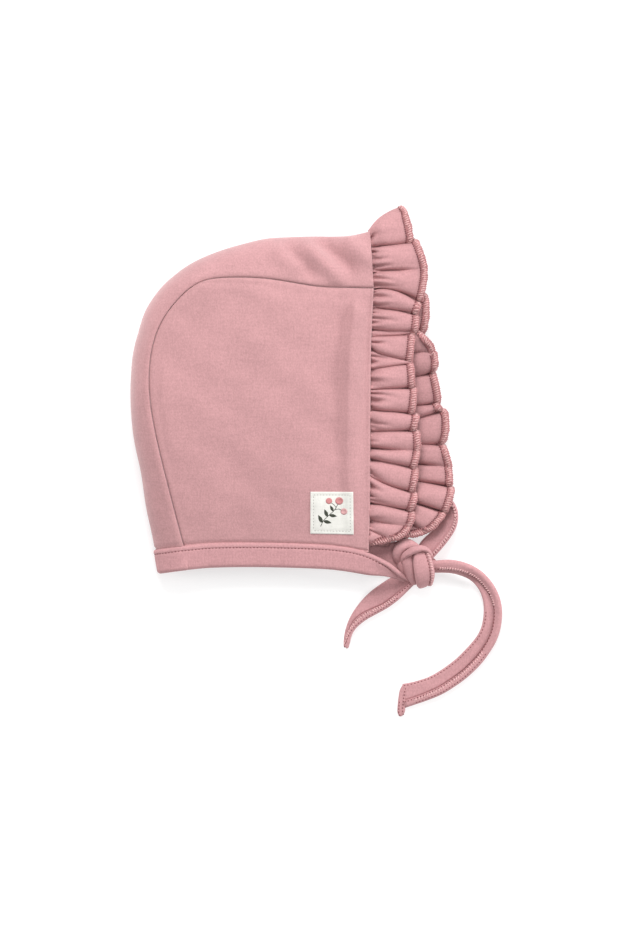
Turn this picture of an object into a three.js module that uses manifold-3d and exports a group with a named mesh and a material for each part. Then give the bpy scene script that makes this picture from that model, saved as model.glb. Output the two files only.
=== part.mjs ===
// A baby sun bonnet of soft cotton jersey that lies on its side on a flat surface, tied in a loose knot.
// Two side panels and a centre strip make the crown, a gathered ruffle follows the face edge, and a
// binding closes the neck edge and runs on into the ties. Millimetres, +Z up. +Y points to the top of
// the head and +X to the face. The origin is on the surface, under the middle of the bonnet.
import * as THREE from "three";
import { mergeVertices } from "three/addons/utils/BufferGeometryUtils.js";
import Module from "manifold-3d";

const wasm = await Module();
wasm.setup();

// Driving sizes of the crown
const crownDepth = 131.5; // back of the head to the seam of the ruffle
const crownHeight = 189; // lower edge of the binding to the fold over the head
const loft = 32; // height of the lying crown at the back of the head
const panelWall = 2; // two layers of jersey
const seamGap = 0.3; // left between pieces that meet at a seam

// Driving sizes of the ruffle
const ruffleWidth = 25;
const ruffleWall = 1.6;
const upperFoldHeight = 2.2; // half the height of the folds on the upper side
const lowerFoldHeight = 3.6; // the folds that lie on the surface
const ruffleDroop = 0.8; // how far the edge on the upper side hangs below its seam

// Driving sizes of the binding, the ties and the label
const bindingHeight = 13.3;
const bindingWall = 2.8;
const tieWidth = 11;
const tieWall = 2.4;
const labelSide = 23.4;
const labelWall = 1;

// Driving sizes of the knot
const knotLength = 24; // along the ties
const knotWidth = 26;
const knotHeight = 13;

// Where the pattern's own origin, the lower front corner of the upper panel, lies from the part's origin
const patternX = 42.4;
const patternY = -100.6;

// The centre strip from the face edge (first row) over the head to the nape (last row). out is the
// outline of the lying bonnet and seam is the upper panel's seam: shares of crownDepth back from the
// face edge and of crownHeight up from the hem. loft is the height of the seam, as a share of loft.
const crownRows = [
  { outX: 0.0, outY: 1.0, seamX: -0.015, seamY: 0.834, loft: 0.53 },
  { outX: 0.075, outY: 0.984, seamX: 0.105, seamY: 0.836, loft: 0.56 },
  { outX: 0.188, outY: 0.975, seamX: 0.218, seamY: 0.838, loft: 0.62 },
  { outX: 0.418, outY: 0.971, seamX: 0.439, seamY: 0.862, loft: 0.78 },
  { outX: 0.64, outY: 0.937, seamX: 0.632, seamY: 0.863, loft: 0.92 },
  { outX: 0.741, outY: 0.907, seamX: 0.699, seamY: 0.854, loft: 0.96 },
  { outX: 0.824, outY: 0.869, seamX: 0.757, seamY: 0.831, loft: 0.98 },
  { outX: 0.939, outY: 0.766, seamX: 0.858, seamY: 0.751, loft: 1.0 },
  { outX: 0.99, outY: 0.638, seamX: 0.911, seamY: 0.655, loft: 1.0 },
  { outX: 1.0, outY: 0.509, seamX: 0.921, seamY: 0.533, loft: 1.0 },
  { outX: 0.981, outY: 0.376, seamX: 0.891, seamY: 0.399, loft: 0.94 },
  { outX: 0.937, outY: 0.218, seamX: 0.833, seamY: 0.233, loft: 0.78 },
  { outX: 0.9, outY: 0.07, seamX: 0.776, seamY: 0.0815, loft: 0.6 },
];
const cornerRow = 5; // where the seam turns from the top of the head down the back
const lastRow = crownRows.length - 1;

// The upper panel's face edge, from the hem up to the seam, in the same shares
const upperFaceRows = [
  { x: 0.006, y: 0.067, loft: 0.48 },
  { x: 0.0, y: 0.218, loft: 0.51 },
  { x: -0.001, y: 0.422, loft: 0.54 },
  { x: -0.004, y: 0.655, loft: 0.55 },
  { x: -0.015, y: 0.834, loft: 0.53 },
];
// The upper panel's hem, from the nape to the face edge
const upperHemRows = [
  { x: 0.776, y: 0.0815, loft: 0.6 },
  { x: 0.653, y: 0.0888, loft: 0.55 },
  { x: 0.448, y: 0.0902, loft: 0.51 },
  { x: 0.172, y: 0.0836, loft: 0.49 },
  { x: 0.006, y: 0.067, loft: 0.48 },
];
// The lower panel lies flat, and its face edge shows past the upper one
const lowerFaceRows = [
  { x: -0.084, y: 0.079 },
  { x: -0.13, y: 0.218 },
  { x: -0.15, y: 0.332 },
  { x: -0.138, y: 0.474 },
  { x: -0.092, y: 0.643 },
  { x: -0.046, y: 0.834 },
];
const lowerHemRows = [
  { x: 0.776, y: 0.0815 },
  { x: 0.653, y: 0.0888 },
  { x: 0.448, y: 0.0902 },
  { x: 0.172, y: 0.0885 },
  { x: -0.084, y: 0.079 },
];
const lowerSeamShift = 0.031; // how far the lower seam's front end lies past the upper one's
const lowerSeamShiftRows = 3; // the rows over which that shift runs out

// Soft relief of the upper panel: a crown, a furrow along the face edge and a few shallow dents.
// u runs from the back seam to the face edge and v from the hem to the top seam. rise is a share of loft.
const panelRelief = [
  { u: 0.45, v: 0.5, spreadU: 0.42, spreadV: 0.42, rise: 0.1 },
  { u: 0.87, v: 0.52, spreadU: 0.05, spreadV: 0.34, rise: -0.045 },
  { u: 0.3, v: 0.78, spreadU: 0.16, spreadV: 0.08, rise: -0.02 },
  { u: 0.5, v: 0.22, spreadU: 0.2, spreadV: 0.1, rise: -0.02 },
];

// The creases between the ruffle's folds, from the upper front corner over the head to the lower front
// corner. at is the share of the face edge, reach and lean are shares of ruffleWidth outwards and along
// the edge, depth is how deep the crease is and heading turns the ruffle towards the top of the head.
const ruffleRows = [
  { at: 0.008, lean: 0.0, reach: 0.08, depth: 1.0, heading: 0 },
  { at: 0.026, lean: -0.2, reach: 0.58, depth: 0.5, heading: 0 },
  { at: 0.044, lean: -0.2, reach: 0.82, depth: 0.5, heading: 0 },
  { at: 0.0654, lean: -0.13, reach: 0.92, depth: 0.9, heading: 0 },
  { at: 0.1106, lean: -0.34, reach: 0.98, depth: 1.0, heading: 0 },
  { at: 0.1318, lean: -0.17, reach: 1.01, depth: 0.9, heading: 0 },
  { at: 0.1518, lean: -0.03, reach: 1.06, depth: 0.35, heading: 0 },
  { at: 0.1776, lean: 0.03, reach: 1.06, depth: 0.9, heading: 0 },
  { at: 0.2103, lean: -0.06, reach: 0.99, depth: 0.9, heading: 0 },
  { at: 0.2412, lean: 0.05, reach: 0.95, depth: 0.9, heading: 0 },
  { at: 0.2727, lean: 0.08, reach: 0.93, depth: 1.0, heading: 0 },
  { at: 0.3048, lean: -0.22, reach: 0.93, depth: 1.0, heading: 0 },
  { at: 0.3303, lean: 0.0, reach: 0.95, depth: 0.8, heading: 0 },
  { at: 0.3716, lean: -0.14, reach: 0.99, depth: 0.8, heading: 1 },
  { at: 0.3962, lean: -0.2, reach: 1.08, depth: 0.5, heading: 2 },
  { at: 0.427, lean: 0.02, reach: 1.16, depth: 0.4, heading: 3 },
  { at: 0.468, lean: 0.05, reach: 1.0, depth: 0.9, heading: 4 },
  { at: 0.496, lean: 0.0, reach: 0.86, depth: 0.5, heading: 39 },
  { at: 0.523, lean: 0.0, reach: 0.9, depth: 0.7, heading: 14 },
  { at: 0.56, lean: 0.0, reach: 0.95, depth: 0.8, heading: 6 },
  { at: 0.604, lean: 0.0, reach: 1.0, depth: 0.9, heading: 3 },
  { at: 0.661, lean: 0.0, reach: 0.86, depth: 1.0, heading: 2 },
  { at: 0.723, lean: 0.0, reach: 0.93, depth: 0.9, heading: 0 },
  { at: 0.771, lean: 0.0, reach: 0.92, depth: 0.6, heading: 0 },
  { at: 0.832, lean: 0.0, reach: 0.99, depth: 1.0, heading: 0 },
  { at: 0.871, lean: 0.0, reach: 1.04, depth: 0.4, heading: 0 },
  { at: 0.896, lean: 0.06, reach: 1.05, depth: 0.8, heading: 0 },
  { at: 0.929, lean: 0.1, reach: 1.0, depth: 0.5, heading: 0 },
  { at: 0.952, lean: 0.14, reach: 0.72, depth: 0.4, heading: 0 },
  { at: 0.975, lean: 0.0, reach: 0.08, depth: 1.0, heading: 0 },
];
const foldOverHead = 0.496; // the share of the face edge at which the ruffle turns to the lower side
const turnLength = 0.035; // the share on each side of it in which the folds run out

// The ties, as points chosen by hand from the knot's centre: x and y in the plane of the surface, roll
// in degrees about the tie's own line, width as a share of tieWidth, and lift above the surface.
const knotCentre = { x: 24.2, y: 5.8 };
const longTailRows = [
  { x: 11.5, y: -1.1, roll: 52, width: 0.8, lift: 3.2 },
  { x: 15.0, y: -0.5, roll: 52, width: 0.95, lift: 1.4 },
  { x: 19.8, y: 0.0, roll: 50, width: 1, lift: 0.2 },
  { x: 24.0, y: -0.5, roll: 48, width: 1, lift: 0.2 },
  { x: 28.2, y: -1.9, roll: 45, width: 1, lift: 0.2 },
  { x: 33.0, y: -5.1, roll: 40, width: 1, lift: 0.2 },
  { x: 37.8, y: -10.6, roll: 36, width: 1, lift: 0.2 },
  { x: 41.2, y: -17.8, roll: 33, width: 1, lift: 0.2 },
  { x: 42.9, y: -26.4, roll: 31, width: 1, lift: 0.2 },
  { x: 42.8, y: -36.0, roll: 29, width: 1, lift: 0.2 },
  { x: 40.2, y: -45.8, roll: 25, width: 1, lift: 0.2 },
  { x: 34.6, y: -54.8, roll: 18, width: 1, lift: 0.2 },
  { x: 25.9, y: -61.8, roll: 12, width: 1, lift: 0.2 },
  { x: 14.9, y: -67.2, roll: 6, width: 1, lift: 0.2 },
  { x: 3.3, y: -71.1, roll: 2, width: 1, lift: 0.2 },
  { x: -7.7, y: -73.9, roll: 0, width: 1, lift: 0.2 },
];
const shortTailRows = [
  { x: -5.9, y: -12.3, roll: -20, width: 0.75, lift: 3.0 },
  { x: -7.8, y: -12.9, roll: -22, width: 0.9, lift: 1.6 },
  { x: -11.2, y: -14.2, roll: -24, width: 1, lift: 0.4 },
  { x: -14.9, y: -15.9, roll: -26, width: 1, lift: 0.2 },
  { x: -18.6, y: -17.8, roll: -30, width: 1, lift: 0.2 },
  { x: -22.2, y: -19.6, roll: -36, width: 1, lift: 0.2 },
  { x: -25.4, y: -21.6, roll: -44, width: 1, lift: 0.2 },
  { x: -28.4, y: -23.9, roll: -54, width: 1, lift: 0.2 },
  { x: -31.0, y: -26.6, roll: -64, width: 1, lift: 0.2 },
  { x: -33.1, y: -29.7, roll: -72, width: 0.95, lift: 0.2 },
  { x: -34.7, y: -33.1, roll: -78, width: 0.85, lift: 0.2 },
  { x: -35.8, y: -36.6, roll: -82, width: 0.75, lift: 0.2 },
  { x: -36.4, y: -40.2, roll: -84, width: 0.6, lift: 0.2 },
  { x: -36.7, y: -43.6, roll: -85, width: 0.45, lift: 0.2 },
];
const chinLoopRows = [
  { x: -8.2, y: 1.6, roll: 0, width: 0.75, lift: 0.2 },
  { x: -7.5, y: 5.2, roll: 0, width: 0.68, lift: 0.2 },
  { x: -7.1, y: 9.2, roll: 0, width: 0.65, lift: 0.2 },
  { x: -6.0, y: 13.7, roll: 0, width: 0.65, lift: 0.2 },
  { x: -3.6, y: 19.3, roll: 0, width: 0.75, lift: 0.2 },
  { x: -0.3, y: 24.6, roll: 0, width: 0.85, lift: 0.2 },
  { x: 3.4, y: 29.2, roll: 0, width: 0.95, lift: 0.2 },
  { x: 7.8, y: 32.4, roll: 0, width: 1, lift: 0.2 },
  { x: 12.4, y: 33.6, roll: 6, width: 1, lift: 0.2 },
  { x: 16.6, y: 32.3, roll: 22, width: 1, lift: 0.2 },
  { x: 19.3, y: 29.0, roll: 36, width: 1, lift: 0.2 },
  { x: 19.9, y: 24.8, roll: 44, width: 1, lift: 0.2 },
  { x: 18.6, y: 20.6, roll: 46, width: 1, lift: 0.2 },
  { x: 16.0, y: 16.8, roll: 46, width: 1, lift: 0.3 },
  { x: 12.8, y: 13.2, roll: 46, width: 0.95, lift: 0.8 },
  { x: 9.9, y: 9.9, roll: 46, width: 0.85, lift: 1.6 },
];
// The bands that wrap the knot, from the knot's centre: x and y as shares of half its length and width
// and z as a share of its height.
const knotBands = {
  left: {
    width: 0.62,
    rows: [[-0.8, -0.25, 0.5], [-0.8, 0.35, 0.78], [-0.25, 0.8, 0.78], [0.3, 0.75, 0.5]],
  },
  middle: {
    width: 0.55,
    rows: [[-0.45, -0.6, 0.5], [-0.5, -0.1, 0.9], [-0.1, 0.55, 0.92], [0.45, 0.6, 0.6]],
  },
  over: {
    width: 0.8,
    rows: [[0.15, -0.85, 0.5], [0.3, -0.35, 0.95], [0.32, 0.3, 0.98], [0.0, 0.75, 0.65]],
  },
};

// Value of one column of a table at row t, smoothly between the rows
function columnAt(rows, column, t) {
  const last = rows.length - 1;
  const i = Math.min(Math.max(Math.floor(t), 0), last - 1);
  const f = t - i;
  const value = (k) => {
    if (k < 0) return 2 * rows[0][column] - rows[1][column];
    if (k > last) return 2 * rows[last][column] - rows[last - 1][column];
    return rows[k][column];
  };
  const [a, b, c, d] = [value(i - 1), value(i), value(i + 1), value(i + 2)];
  const slopeB = (c - a) / 2;
  const slopeC = (d - b) / 2;
  const f2 = f * f;
  const f3 = f2 * f;
  return (2 * f3 - 3 * f2 + 1) * b + (f3 - 2 * f2 + f) * slopeB + (3 * f2 - 2 * f3) * c + (f3 - f2) * slopeC;
}

const point = (x, y, z) => new THREE.Vector3(x, y, z);
const steps = (count) => Array.from({ length: count + 1 }, (_, i) => i / count);
const smooth = (x) => {
  const t = THREE.MathUtils.clamp(x, 0, 1);
  return t * t * (3 - 2 * t);
};

// A place on the bonnet from its shares of the crown's depth, height and loft
const place = (back, up, high = 0) => point(-back * crownDepth, up * crownHeight, high * loft);
const rowPlace = (rows, t) => {
  return place(columnAt(rows, "x", t), columnAt(rows, "y", t), rows[0].loft ? columnAt(rows, "loft", t) : 0);
};

// The centre strip's outline and seams at row t
const outline = (t) => place(columnAt(crownRows, "outX", t), columnAt(crownRows, "outY", t));
const upperSeam = (t) => {
  const [back, up, high] = ["seamX", "seamY", "loft"].map((column) => columnAt(crownRows, column, t));
  return place(back, up, high);
};
function lowerSeam(t) {
  const shift = Math.max(0, 1 - t / lowerSeamShiftRows) ** 2 * lowerSeamShift * crownDepth;
  const seam = upperSeam(t);
  return point(seam.x + shift, seam.y, 0);
}

// A point of the centre strip at row t and turn, from 0 at the upper seam through a half at the outline
// to 1 at the lower seam, and depth under its outer face
function stripPoint(t, turn, depth) {
  const angle = turn * Math.PI;
  const seam = turn < 0.5 ? upperSeam(t) : lowerSeam(t);
  const half = upperSeam(t).z / 2;
  const edge = outline(t);
  const span = Math.hypot(edge.x - seam.x, edge.y - seam.y);
  const share = ((span - depth) / span) * Math.sin(angle);
  return point(
    seam.x + (edge.x - seam.x) * share,
    seam.y + (edge.y - seam.y) * share,
    half + (half - depth) * Math.cos(angle),
  );
}

// Moves a point of a seam by the seam's gap, away from the centre strip and into the panel
function panelSide(seam, edge) {
  const inwards = point(seam.x - edge.x, seam.y - edge.y, 0).normalize();
  return seam.clone().addScaledVector(inwards, seamGap);
}

// A four-sided patch between four edge curves that share their corners
function patchPoint(edges, u, v) {
  const { back, face, hem, top } = edges;
  const sum = point(0, 0, 0)
    .addScaledVector(back(v), 1 - u)
    .addScaledVector(face(v), u)
    .addScaledVector(hem(u), 1 - v)
    .addScaledVector(top(u), v);
  return sum
    .addScaledVector(back(0), -(1 - u) * (1 - v))
    .addScaledVector(face(0), -u * (1 - v))
    .addScaledVector(back(1), -(1 - u) * v)
    .addScaledVector(face(1), -u * v);
}

function panelEdges(seam, faceRows, hemRows) {
  const faceEnd = faceRows.length - 1;
  const hemEnd = hemRows.length - 1;
  const seamAt = (t) => panelSide(seam(t), outline(t));
  const corner = { nape: seamAt(lastRow), head: seamAt(0) };
  // The hem and the face edge start and end on the seam's ends
  const onto = (p, start, wanted, share) => p.clone().addScaledVector(wanted.clone().sub(start), share);
  return {
    back: (v) => seamAt(lastRow + (cornerRow - lastRow) * v),
    top: (u) => seamAt(cornerRow * (1 - u)),
    face: (v) => onto(rowPlace(faceRows, v * faceEnd), rowPlace(faceRows, faceEnd), corner.head, v),
    hem: (u) => onto(rowPlace(hemRows, u * hemEnd), rowPlace(hemRows, 0), corner.nape, 1 - u),
  };
}
const upperEdges = panelEdges(upperSeam, upperFaceRows, upperHemRows);
const lowerEdges = panelEdges(lowerSeam, lowerFaceRows, lowerHemRows);

// Height of the soft relief, which runs out at the panel's edges
function relief(u, v) {
  const fade = smooth(u * 8) * smooth((1 - u) * 12) * smooth(v * 8) * smooth((1 - v) * 8);
  const bump = ({ u: cu, v: cv, spreadU, spreadV, rise }) => {
    return rise * loft * Math.exp(-(((u - cu) / spreadU) ** 2) - ((v - cv) / spreadV) ** 2);
  };
  return fade * panelRelief.reduce((sum, row) => sum + bump(row), 0);
}
function upperPanelPoint(u, v) {
  const p = patchPoint(upperEdges, u, v);
  p.z += relief(u, v);
  return p;
}

// Turns a closed mesh right side out
function facingOut(points, faces) {
  const a = point();
  let volume = 0;
  for (const [i, j, k] of faces) volume += a.crossVectors(points[i], points[j]).dot(points[k]);
  const turned = volume < 0 ? faces.map(([i, j, k]) => [i, k, j]) : faces;
  const geometry = new THREE.BufferGeometry().setFromPoints(points);
  geometry.setIndex(turned.flat());
  geometry.computeVertexNormals();
  return geometry;
}

// A closed wall of cloth between two grids of points, with a rim round its four sides
function clothWall(outer, inner) {
  const rows = outer.length;
  const columns = outer[0].length;
  const id = (side, i, j) => (side * rows + i) * columns + j;
  const faces = [];
  const quad = (a, b, c, d) => faces.push([a, b, c], [a, c, d]);
  for (let i = 0; i < rows - 1; i++) {
    for (let j = 0; j < columns - 1; j++) {
      quad(id(0, i, j), id(0, i + 1, j), id(0, i + 1, j + 1), id(0, i, j + 1));
      quad(id(1, i, j), id(1, i, j + 1), id(1, i + 1, j + 1), id(1, i + 1, j));
    }
  }
  const rim = [];
  for (let i = 0; i < rows - 1; i++) rim.push([i, 0]);
  for (let j = 0; j < columns - 1; j++) rim.push([rows - 1, j]);
  for (let i = rows - 1; i > 0; i--) rim.push([i, columns - 1]);
  for (let j = columns - 1; j > 0; j--) rim.push([0, j]);
  rim.forEach(([i, j], n) => {
    const [k, l] = rim[(n + 1) % rim.length];
    quad(id(0, k, l), id(0, i, j), id(1, i, j), id(1, k, l));
  });
  return facingOut([...outer.flat(), ...inner.flat()], faces);
}

// A closed solid through rings of points, with a flat cap at each end
function ringSolid(rings) {
  const sides = rings[0].length;
  const faces = [];
  for (let i = 0; i < rings.length - 1; i++) {
    for (let k = 0; k < sides; k++) {
      const next = (k + 1) % sides;
      const [a, b] = [i * sides + k, i * sides + next];
      faces.push([a, b, b + sides], [a, b + sides, a + sides]);
    }
  }
  const end = (rings.length - 1) * sides;
  for (let k = 1; k < sides - 1; k++) faces.push([0, k + 1, k], [end, end + k, end + k + 1]);
  return facingOut(rings.flat(), faces);
}

// The rounded section of a strip of cloth: across and through as shares of half its width and thickness
const stripSection = [
  [-1, -0.5],
  [-0.93, -1],
  [0.93, -1],
  [1, -0.5],
  [1, 0.5],
  [0.93, 1],
  [-0.93, 1],
  [-1, 0.5],
];

function sectionRing(centre, across, through, width, wall) {
  return stripSection.map(([a, b]) => {
    return centre.clone().addScaledVector(across, (a * width) / 2).addScaledVector(through, (b * wall) / 2);
  });
}

// The side panels, the centre strip and the label
const backSteps = 14;
const topSteps = 10;
const turnSteps = 8;

function upperPanel() {
  const outer = steps(topSteps).map((u) => steps(backSteps).map((v) => upperPanelPoint(u, v)));
  const inner = outer.map((line) => line.map((p) => point(p.x, p.y, p.z - panelWall)));
  return clothWall(outer, inner);
}

function lowerPanel() {
  const { back, face, hem, top } = lowerEdges;
  const around = [
    ...steps(topSteps).map((u) => hem(u)),
    ...steps(backSteps).slice(1).map((v) => face(v)),
    ...steps(topSteps).slice(1).map((u) => top(1 - u)),
    ...steps(backSteps).slice(1, -1).map((v) => back(1 - v)),
  ];
  const shape = new THREE.Shape(around.map((p) => new THREE.Vector2(p.x, p.y)));
  const geometry = new THREE.ExtrudeGeometry(shape, { depth: panelWall, bevelEnabled: false });
  return geometry;
}

// The strip's stations are the panels' own, so that their seams stay a gap apart
function stripStations() {
  const top = steps(topSteps).map((u) => cornerRow * u);
  const back = steps(backSteps).slice(1).map((v) => cornerRow + (lastRow - cornerRow) * v);
  return [...top, ...back];
}

function centreStrip() {
  const wall = (depth) => {
    return stripStations().map((t) => steps(turnSteps).map((turn) => stripPoint(t, turn, depth)));
  };
  return clothWall(wall(0), wall(panelWall));
}

function label() {
  const centre = { u: 0.809, v: 0.146 }; // of the upper panel
  const panelWidth = upperPanelPoint(0, centre.v).distanceTo(upperPanelPoint(1, centre.v));
  const panelHeight = upperPanelPoint(centre.u, 0).distanceTo(upperPanelPoint(centre.u, 1));
  const halfU = labelSide / panelWidth / 2;
  const halfV = labelSide / panelHeight / 2;
  const face = (height) => {
    return steps(4).map((a) =>
      steps(4).map((b) => {
        const p = upperPanelPoint(centre.u + (2 * a - 1) * halfU, centre.v + (2 * b - 1) * halfV);
        return point(p.x, p.y, p.z + height);
      }),
    );
  };
  return clothWall(face(2 * seamGap + labelWall), face(2 * seamGap));
}

// The binding follows the hem from the upper front corner round the nape to the lower front corner
function bindingStations() {
  const upper = steps(topSteps).map((share) => {
    const place = upperEdges.hem(1 - share);
    return { edge: place, out: point(0, 0, 1), down: point(0, -1, -0.1) };
  });
  const turned = steps(turnSteps).slice(1, -1).map((turn) => {
    const edge = stripPoint(lastRow, turn, 0);
    const before = stripPoint(lastRow - 0.5, turn, 0);
    const inside = stripPoint(lastRow, turn, panelWall);
    const down = edge.clone().sub(before).normalize();
    return { edge, out: edge.clone().sub(inside), down: point(down.x, down.y, 0) };
  });
  const lower = steps(topSteps).map((share) => {
    return { edge: lowerEdges.hem(share), out: point(0, 0, -1), down: point(0, -1, 0) };
  });
  return [...upper, ...turned, ...lower];
}

function binding() {
  const rings = bindingStations().map(({ edge, out, down }) => {
    const through = out.normalize();
    const across = down.normalize();
    const centre = edge.clone().addScaledVector(across, seamGap + bindingHeight / 2);
    centre.addScaledVector(through, -panelWall / 2);
    centre.z = Math.max(centre.z, bindingWall / 2);
    return sectionRing(centre, across, through, bindingHeight, bindingWall);
  });
  return ringSolid(rings);
}

// The middle of the cloth along the whole face edge, from the upper front corner to the lower one
function faceEdge() {
  const upper = steps(40).map((v) => {
    const p = upperEdges.face(v);
    return point(p.x, p.y, p.z - panelWall / 2);
  });
  const over = steps(24).slice(1, -1).map((turn) => stripPoint(0, turn, panelWall / 2));
  const lower = steps(40).map((v) => {
    const p = lowerEdges.face(1 - v);
    return point(p.x, p.y, panelWall / 2);
  });
  return [...upper, ...over, ...lower];
}

// The place at a share of a line's length
function sharePlace(line) {
  const lengths = [0];
  line.slice(1).forEach((p, i) => lengths.push(lengths[i] + p.distanceTo(line[i])));
  const whole = lengths[lengths.length - 1];
  return (share) => {
    const wanted = THREE.MathUtils.clamp(share, 0, 1) * whole;
    const i = Math.max(1, lengths.findIndex((long) => long >= wanted - 1e-9));
    const part = (wanted - lengths[i - 1]) / (lengths[i] - lengths[i - 1]);
    return line[i - 1].clone().lerp(line[i], part);
  };
}

// The row of the ruffle's table, with a fraction, at a share of the face edge
function ruffleRow(at) {
  const next = ruffleRows.findIndex((row, i) => i > 0 && row.at >= at - 1e-9);
  const before = ruffleRows[next - 1].at;
  return next - 1 + (at - before) / (ruffleRows[next].at - before);
}

// 1 on top of a fold, and down to 0 in a deep crease
function foldShape(row) {
  const i = Math.min(Math.floor(row), ruffleRows.length - 2);
  const f = row - i;
  const crease = 1 - (ruffleRows[i].depth * (1 - f) + ruffleRows[i + 1].depth * f);
  return crease + (1 - crease) * Math.sin(Math.PI * f) ** 0.75;
}

// Height that the lower ruffle leaves for the tie that lies under its end
const tieRoom = (at, out) => {
  return (tieWall + 4 * seamGap) * smooth((at - 0.8) / 0.06) * smooth(out / 1.5);
};

const edgePlace = sharePlace(faceEdge());

// The middle of the ruffle's cloth at a share of the face edge and of the way out to its edge, and the
// direction through the cloth
function rufflePoint(at, across) {
  const row = ruffleRow(at);
  const seam = edgePlace(at);
  const small = 0.012;
  const along = edgePlace(at + small).sub(edgePlace(at - small)).normalize();
  const heading = THREE.MathUtils.degToRad(columnAt(ruffleRows, "heading", row));
  const outwards = point(Math.cos(heading), Math.sin(heading), 0);
  const through = new THREE.Vector3().crossVectors(outwards, along).normalize();
  const fold = foldShape(row);
  const reach = columnAt(ruffleRows, "reach", row) * ruffleWidth * (0.96 + 0.06 * fold);
  const lean = columnAt(ruffleRows, "lean", row) * ruffleWidth;
  const open = smooth(across * 1.15);
  const p = seam.clone().addScaledVector(outwards, 2 * seamGap + reach * across);
  p.y += lean * across * (at < foldOverHead ? 1 : -1);
  const turn = smooth(Math.abs(at - foldOverHead) / turnLength);
  if (at < foldOverHead) {
    p.addScaledVector(through, turn * open * upperFoldHeight * (2 * fold - 1));
    p.z -= ruffleDroop * across * across;
  } else {
    p.z += turn * (open * lowerFoldHeight * fold + tieRoom(at, reach * across));
  }
  return { p, through };
}

function ruffle() {
  const perFold = 5;
  const stations = ruffleRows.slice(1).flatMap((row, i) => {
    const before = ruffleRows[i].at;
    return steps(perFold).slice(0, -1).map((f) => before + (row.at - before) * f);
  });
  stations.push(ruffleRows[ruffleRows.length - 1].at);
  const side = (sign) => {
    return stations.map((at) =>
      steps(4).map((across) => {
        const { p, through } = rufflePoint(at, across);
        return p.addScaledVector(through, (sign * ruffleWall) / 2);
      }),
    );
  };
  return clothWall(side(1), side(-1));
}

// A tie from its table: it lies on the surface, rolled about its own line
function tieGeometry(rows, perRow = 2) {
  const stations = steps((rows.length - 1) * perRow).map((share) => share * (rows.length - 1));
  const plan = (t) => point(columnAt(rows, "x", t), columnAt(rows, "y", t), 0);
  const rings = stations.map((t) => {
    const along = plan(Math.min(t + 0.2, rows.length - 1)).sub(plan(Math.max(t - 0.2, 0))).normalize();
    const left = point(-along.y, along.x, 0);
    const roll = THREE.MathUtils.degToRad(columnAt(rows, "roll", t));
    const across = left.clone().multiplyScalar(Math.cos(roll)).setZ(Math.sin(roll));
    const through = left.clone().multiplyScalar(-Math.sin(roll)).setZ(Math.cos(roll));
    const width = columnAt(rows, "width", t) * tieWidth;
    const reach = (width / 2) * Math.abs(across.z) + (tieWall / 2) * through.z;
    const centre = plan(t).add(point(knotCentre.x, knotCentre.y, reach + columnAt(rows, "lift", t)));
    return sectionRing(centre, across, through, width, tieWall);
  });
  return ringSolid(rings);
}

// The short stretch of the upper tie between the binding's front end and the knot
function tieLead() {
  const corner = upperEdges.hem(1);
  const low = corner.z - panelWall / 2 - 0.7;
  const start = point(corner.x + 5 * seamGap, corner.y - seamGap - bindingHeight / 2, low);
  const end = point(knotCentre.x - knotLength * 0.6, knotCentre.y - knotWidth * 0.2, knotHeight * 0.62);
  const middle = start.clone().lerp(end, 0.5).add(point(0, 0.6, 0.4));
  const curve = new THREE.CatmullRomCurve3([start, middle, end]);
  const rings = steps(8).map((share) => {
    const along = curve.getTangent(share);
    const roll = THREE.MathUtils.degToRad(-10 - 50 * smooth(share));
    const left = point(-along.y, along.x, 0).normalize();
    const level = point(0, 1, 0).lerp(left, share).normalize();
    const across = level.multiplyScalar(Math.cos(roll)).setZ(Math.sin(roll));
    const through = new THREE.Vector3().crossVectors(along, across).normalize();
    const width = THREE.MathUtils.lerp(bindingHeight, tieWidth * 0.6, smooth(share));
    return sectionRing(curve.getPoint(share), across, through, width, tieWall);
  });
  return ringSolid(rings);
}

// manifold-3d solids from closed geometries, and back
function solidOf(geometry) {
  const bare = new THREE.BufferGeometry().setAttribute("position", geometry.getAttribute("position"));
  const merged = mergeVertices(bare.setIndex(geometry.index), 1e-4);
  return new wasm.Manifold(
    new wasm.Mesh({
      numProp: 3,
      vertProperties: merged.attributes.position.array,
      triVerts: new Uint32Array(merged.index.array),
    }),
  );
}
function geometryOf(solid) {
  const mesh = solid.getMesh();
  const geometry = new THREE.BufferGeometry();
  geometry.setAttribute("position", new THREE.BufferAttribute(mesh.vertProperties, 3));
  geometry.setIndex(new THREE.BufferAttribute(mesh.triVerts, 1));
  geometry.computeVertexNormals();
  return geometry;
}

// The knot: a round core with the ties' bands wrapped over it
function knot() {
  const centre = point(knotCentre.x, knotCentre.y, knotHeight * 0.6);
  const core = new THREE.SphereGeometry(0.5, 16, 10);
  core.scale(knotLength * 0.92, knotWidth * 0.9, knotHeight * 0.76);
  core.translate(centre.x, centre.y, centre.z);
  let solid = solidOf(core);
  for (const { width, rows } of Object.values(knotBands)) {
    const path = rows.map(([x, y, z]) => {
      return point(centre.x + (x * knotLength) / 2, centre.y + (y * knotWidth) / 2, z * knotHeight);
    });
    const curve = new THREE.CatmullRomCurve3(path);
    const rings = steps(8).map((share) => {
      const p = curve.getPoint(share);
      const along = curve.getTangent(share);
      const across = new THREE.Vector3().crossVectors(p.clone().sub(centre), along).normalize();
      const through = new THREE.Vector3().crossVectors(along, across).normalize();
      return sectionRing(p, across, through, width * tieWidth, tieWall);
    });
    solid = solid.add(solidOf(ringSolid(rings)));
  }
  return geometryOf(solid);
}

// Materials, and the named pieces
const cloth = (color) => new THREE.MeshStandardMaterial({ color, roughness: 0.92, metalness: 0 });
const pinkJersey = cloth(0xd3a3a6);
const pinkBinding = cloth(0xcf9fa2);
const creamLabel = cloth(0xf1ece4);

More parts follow.
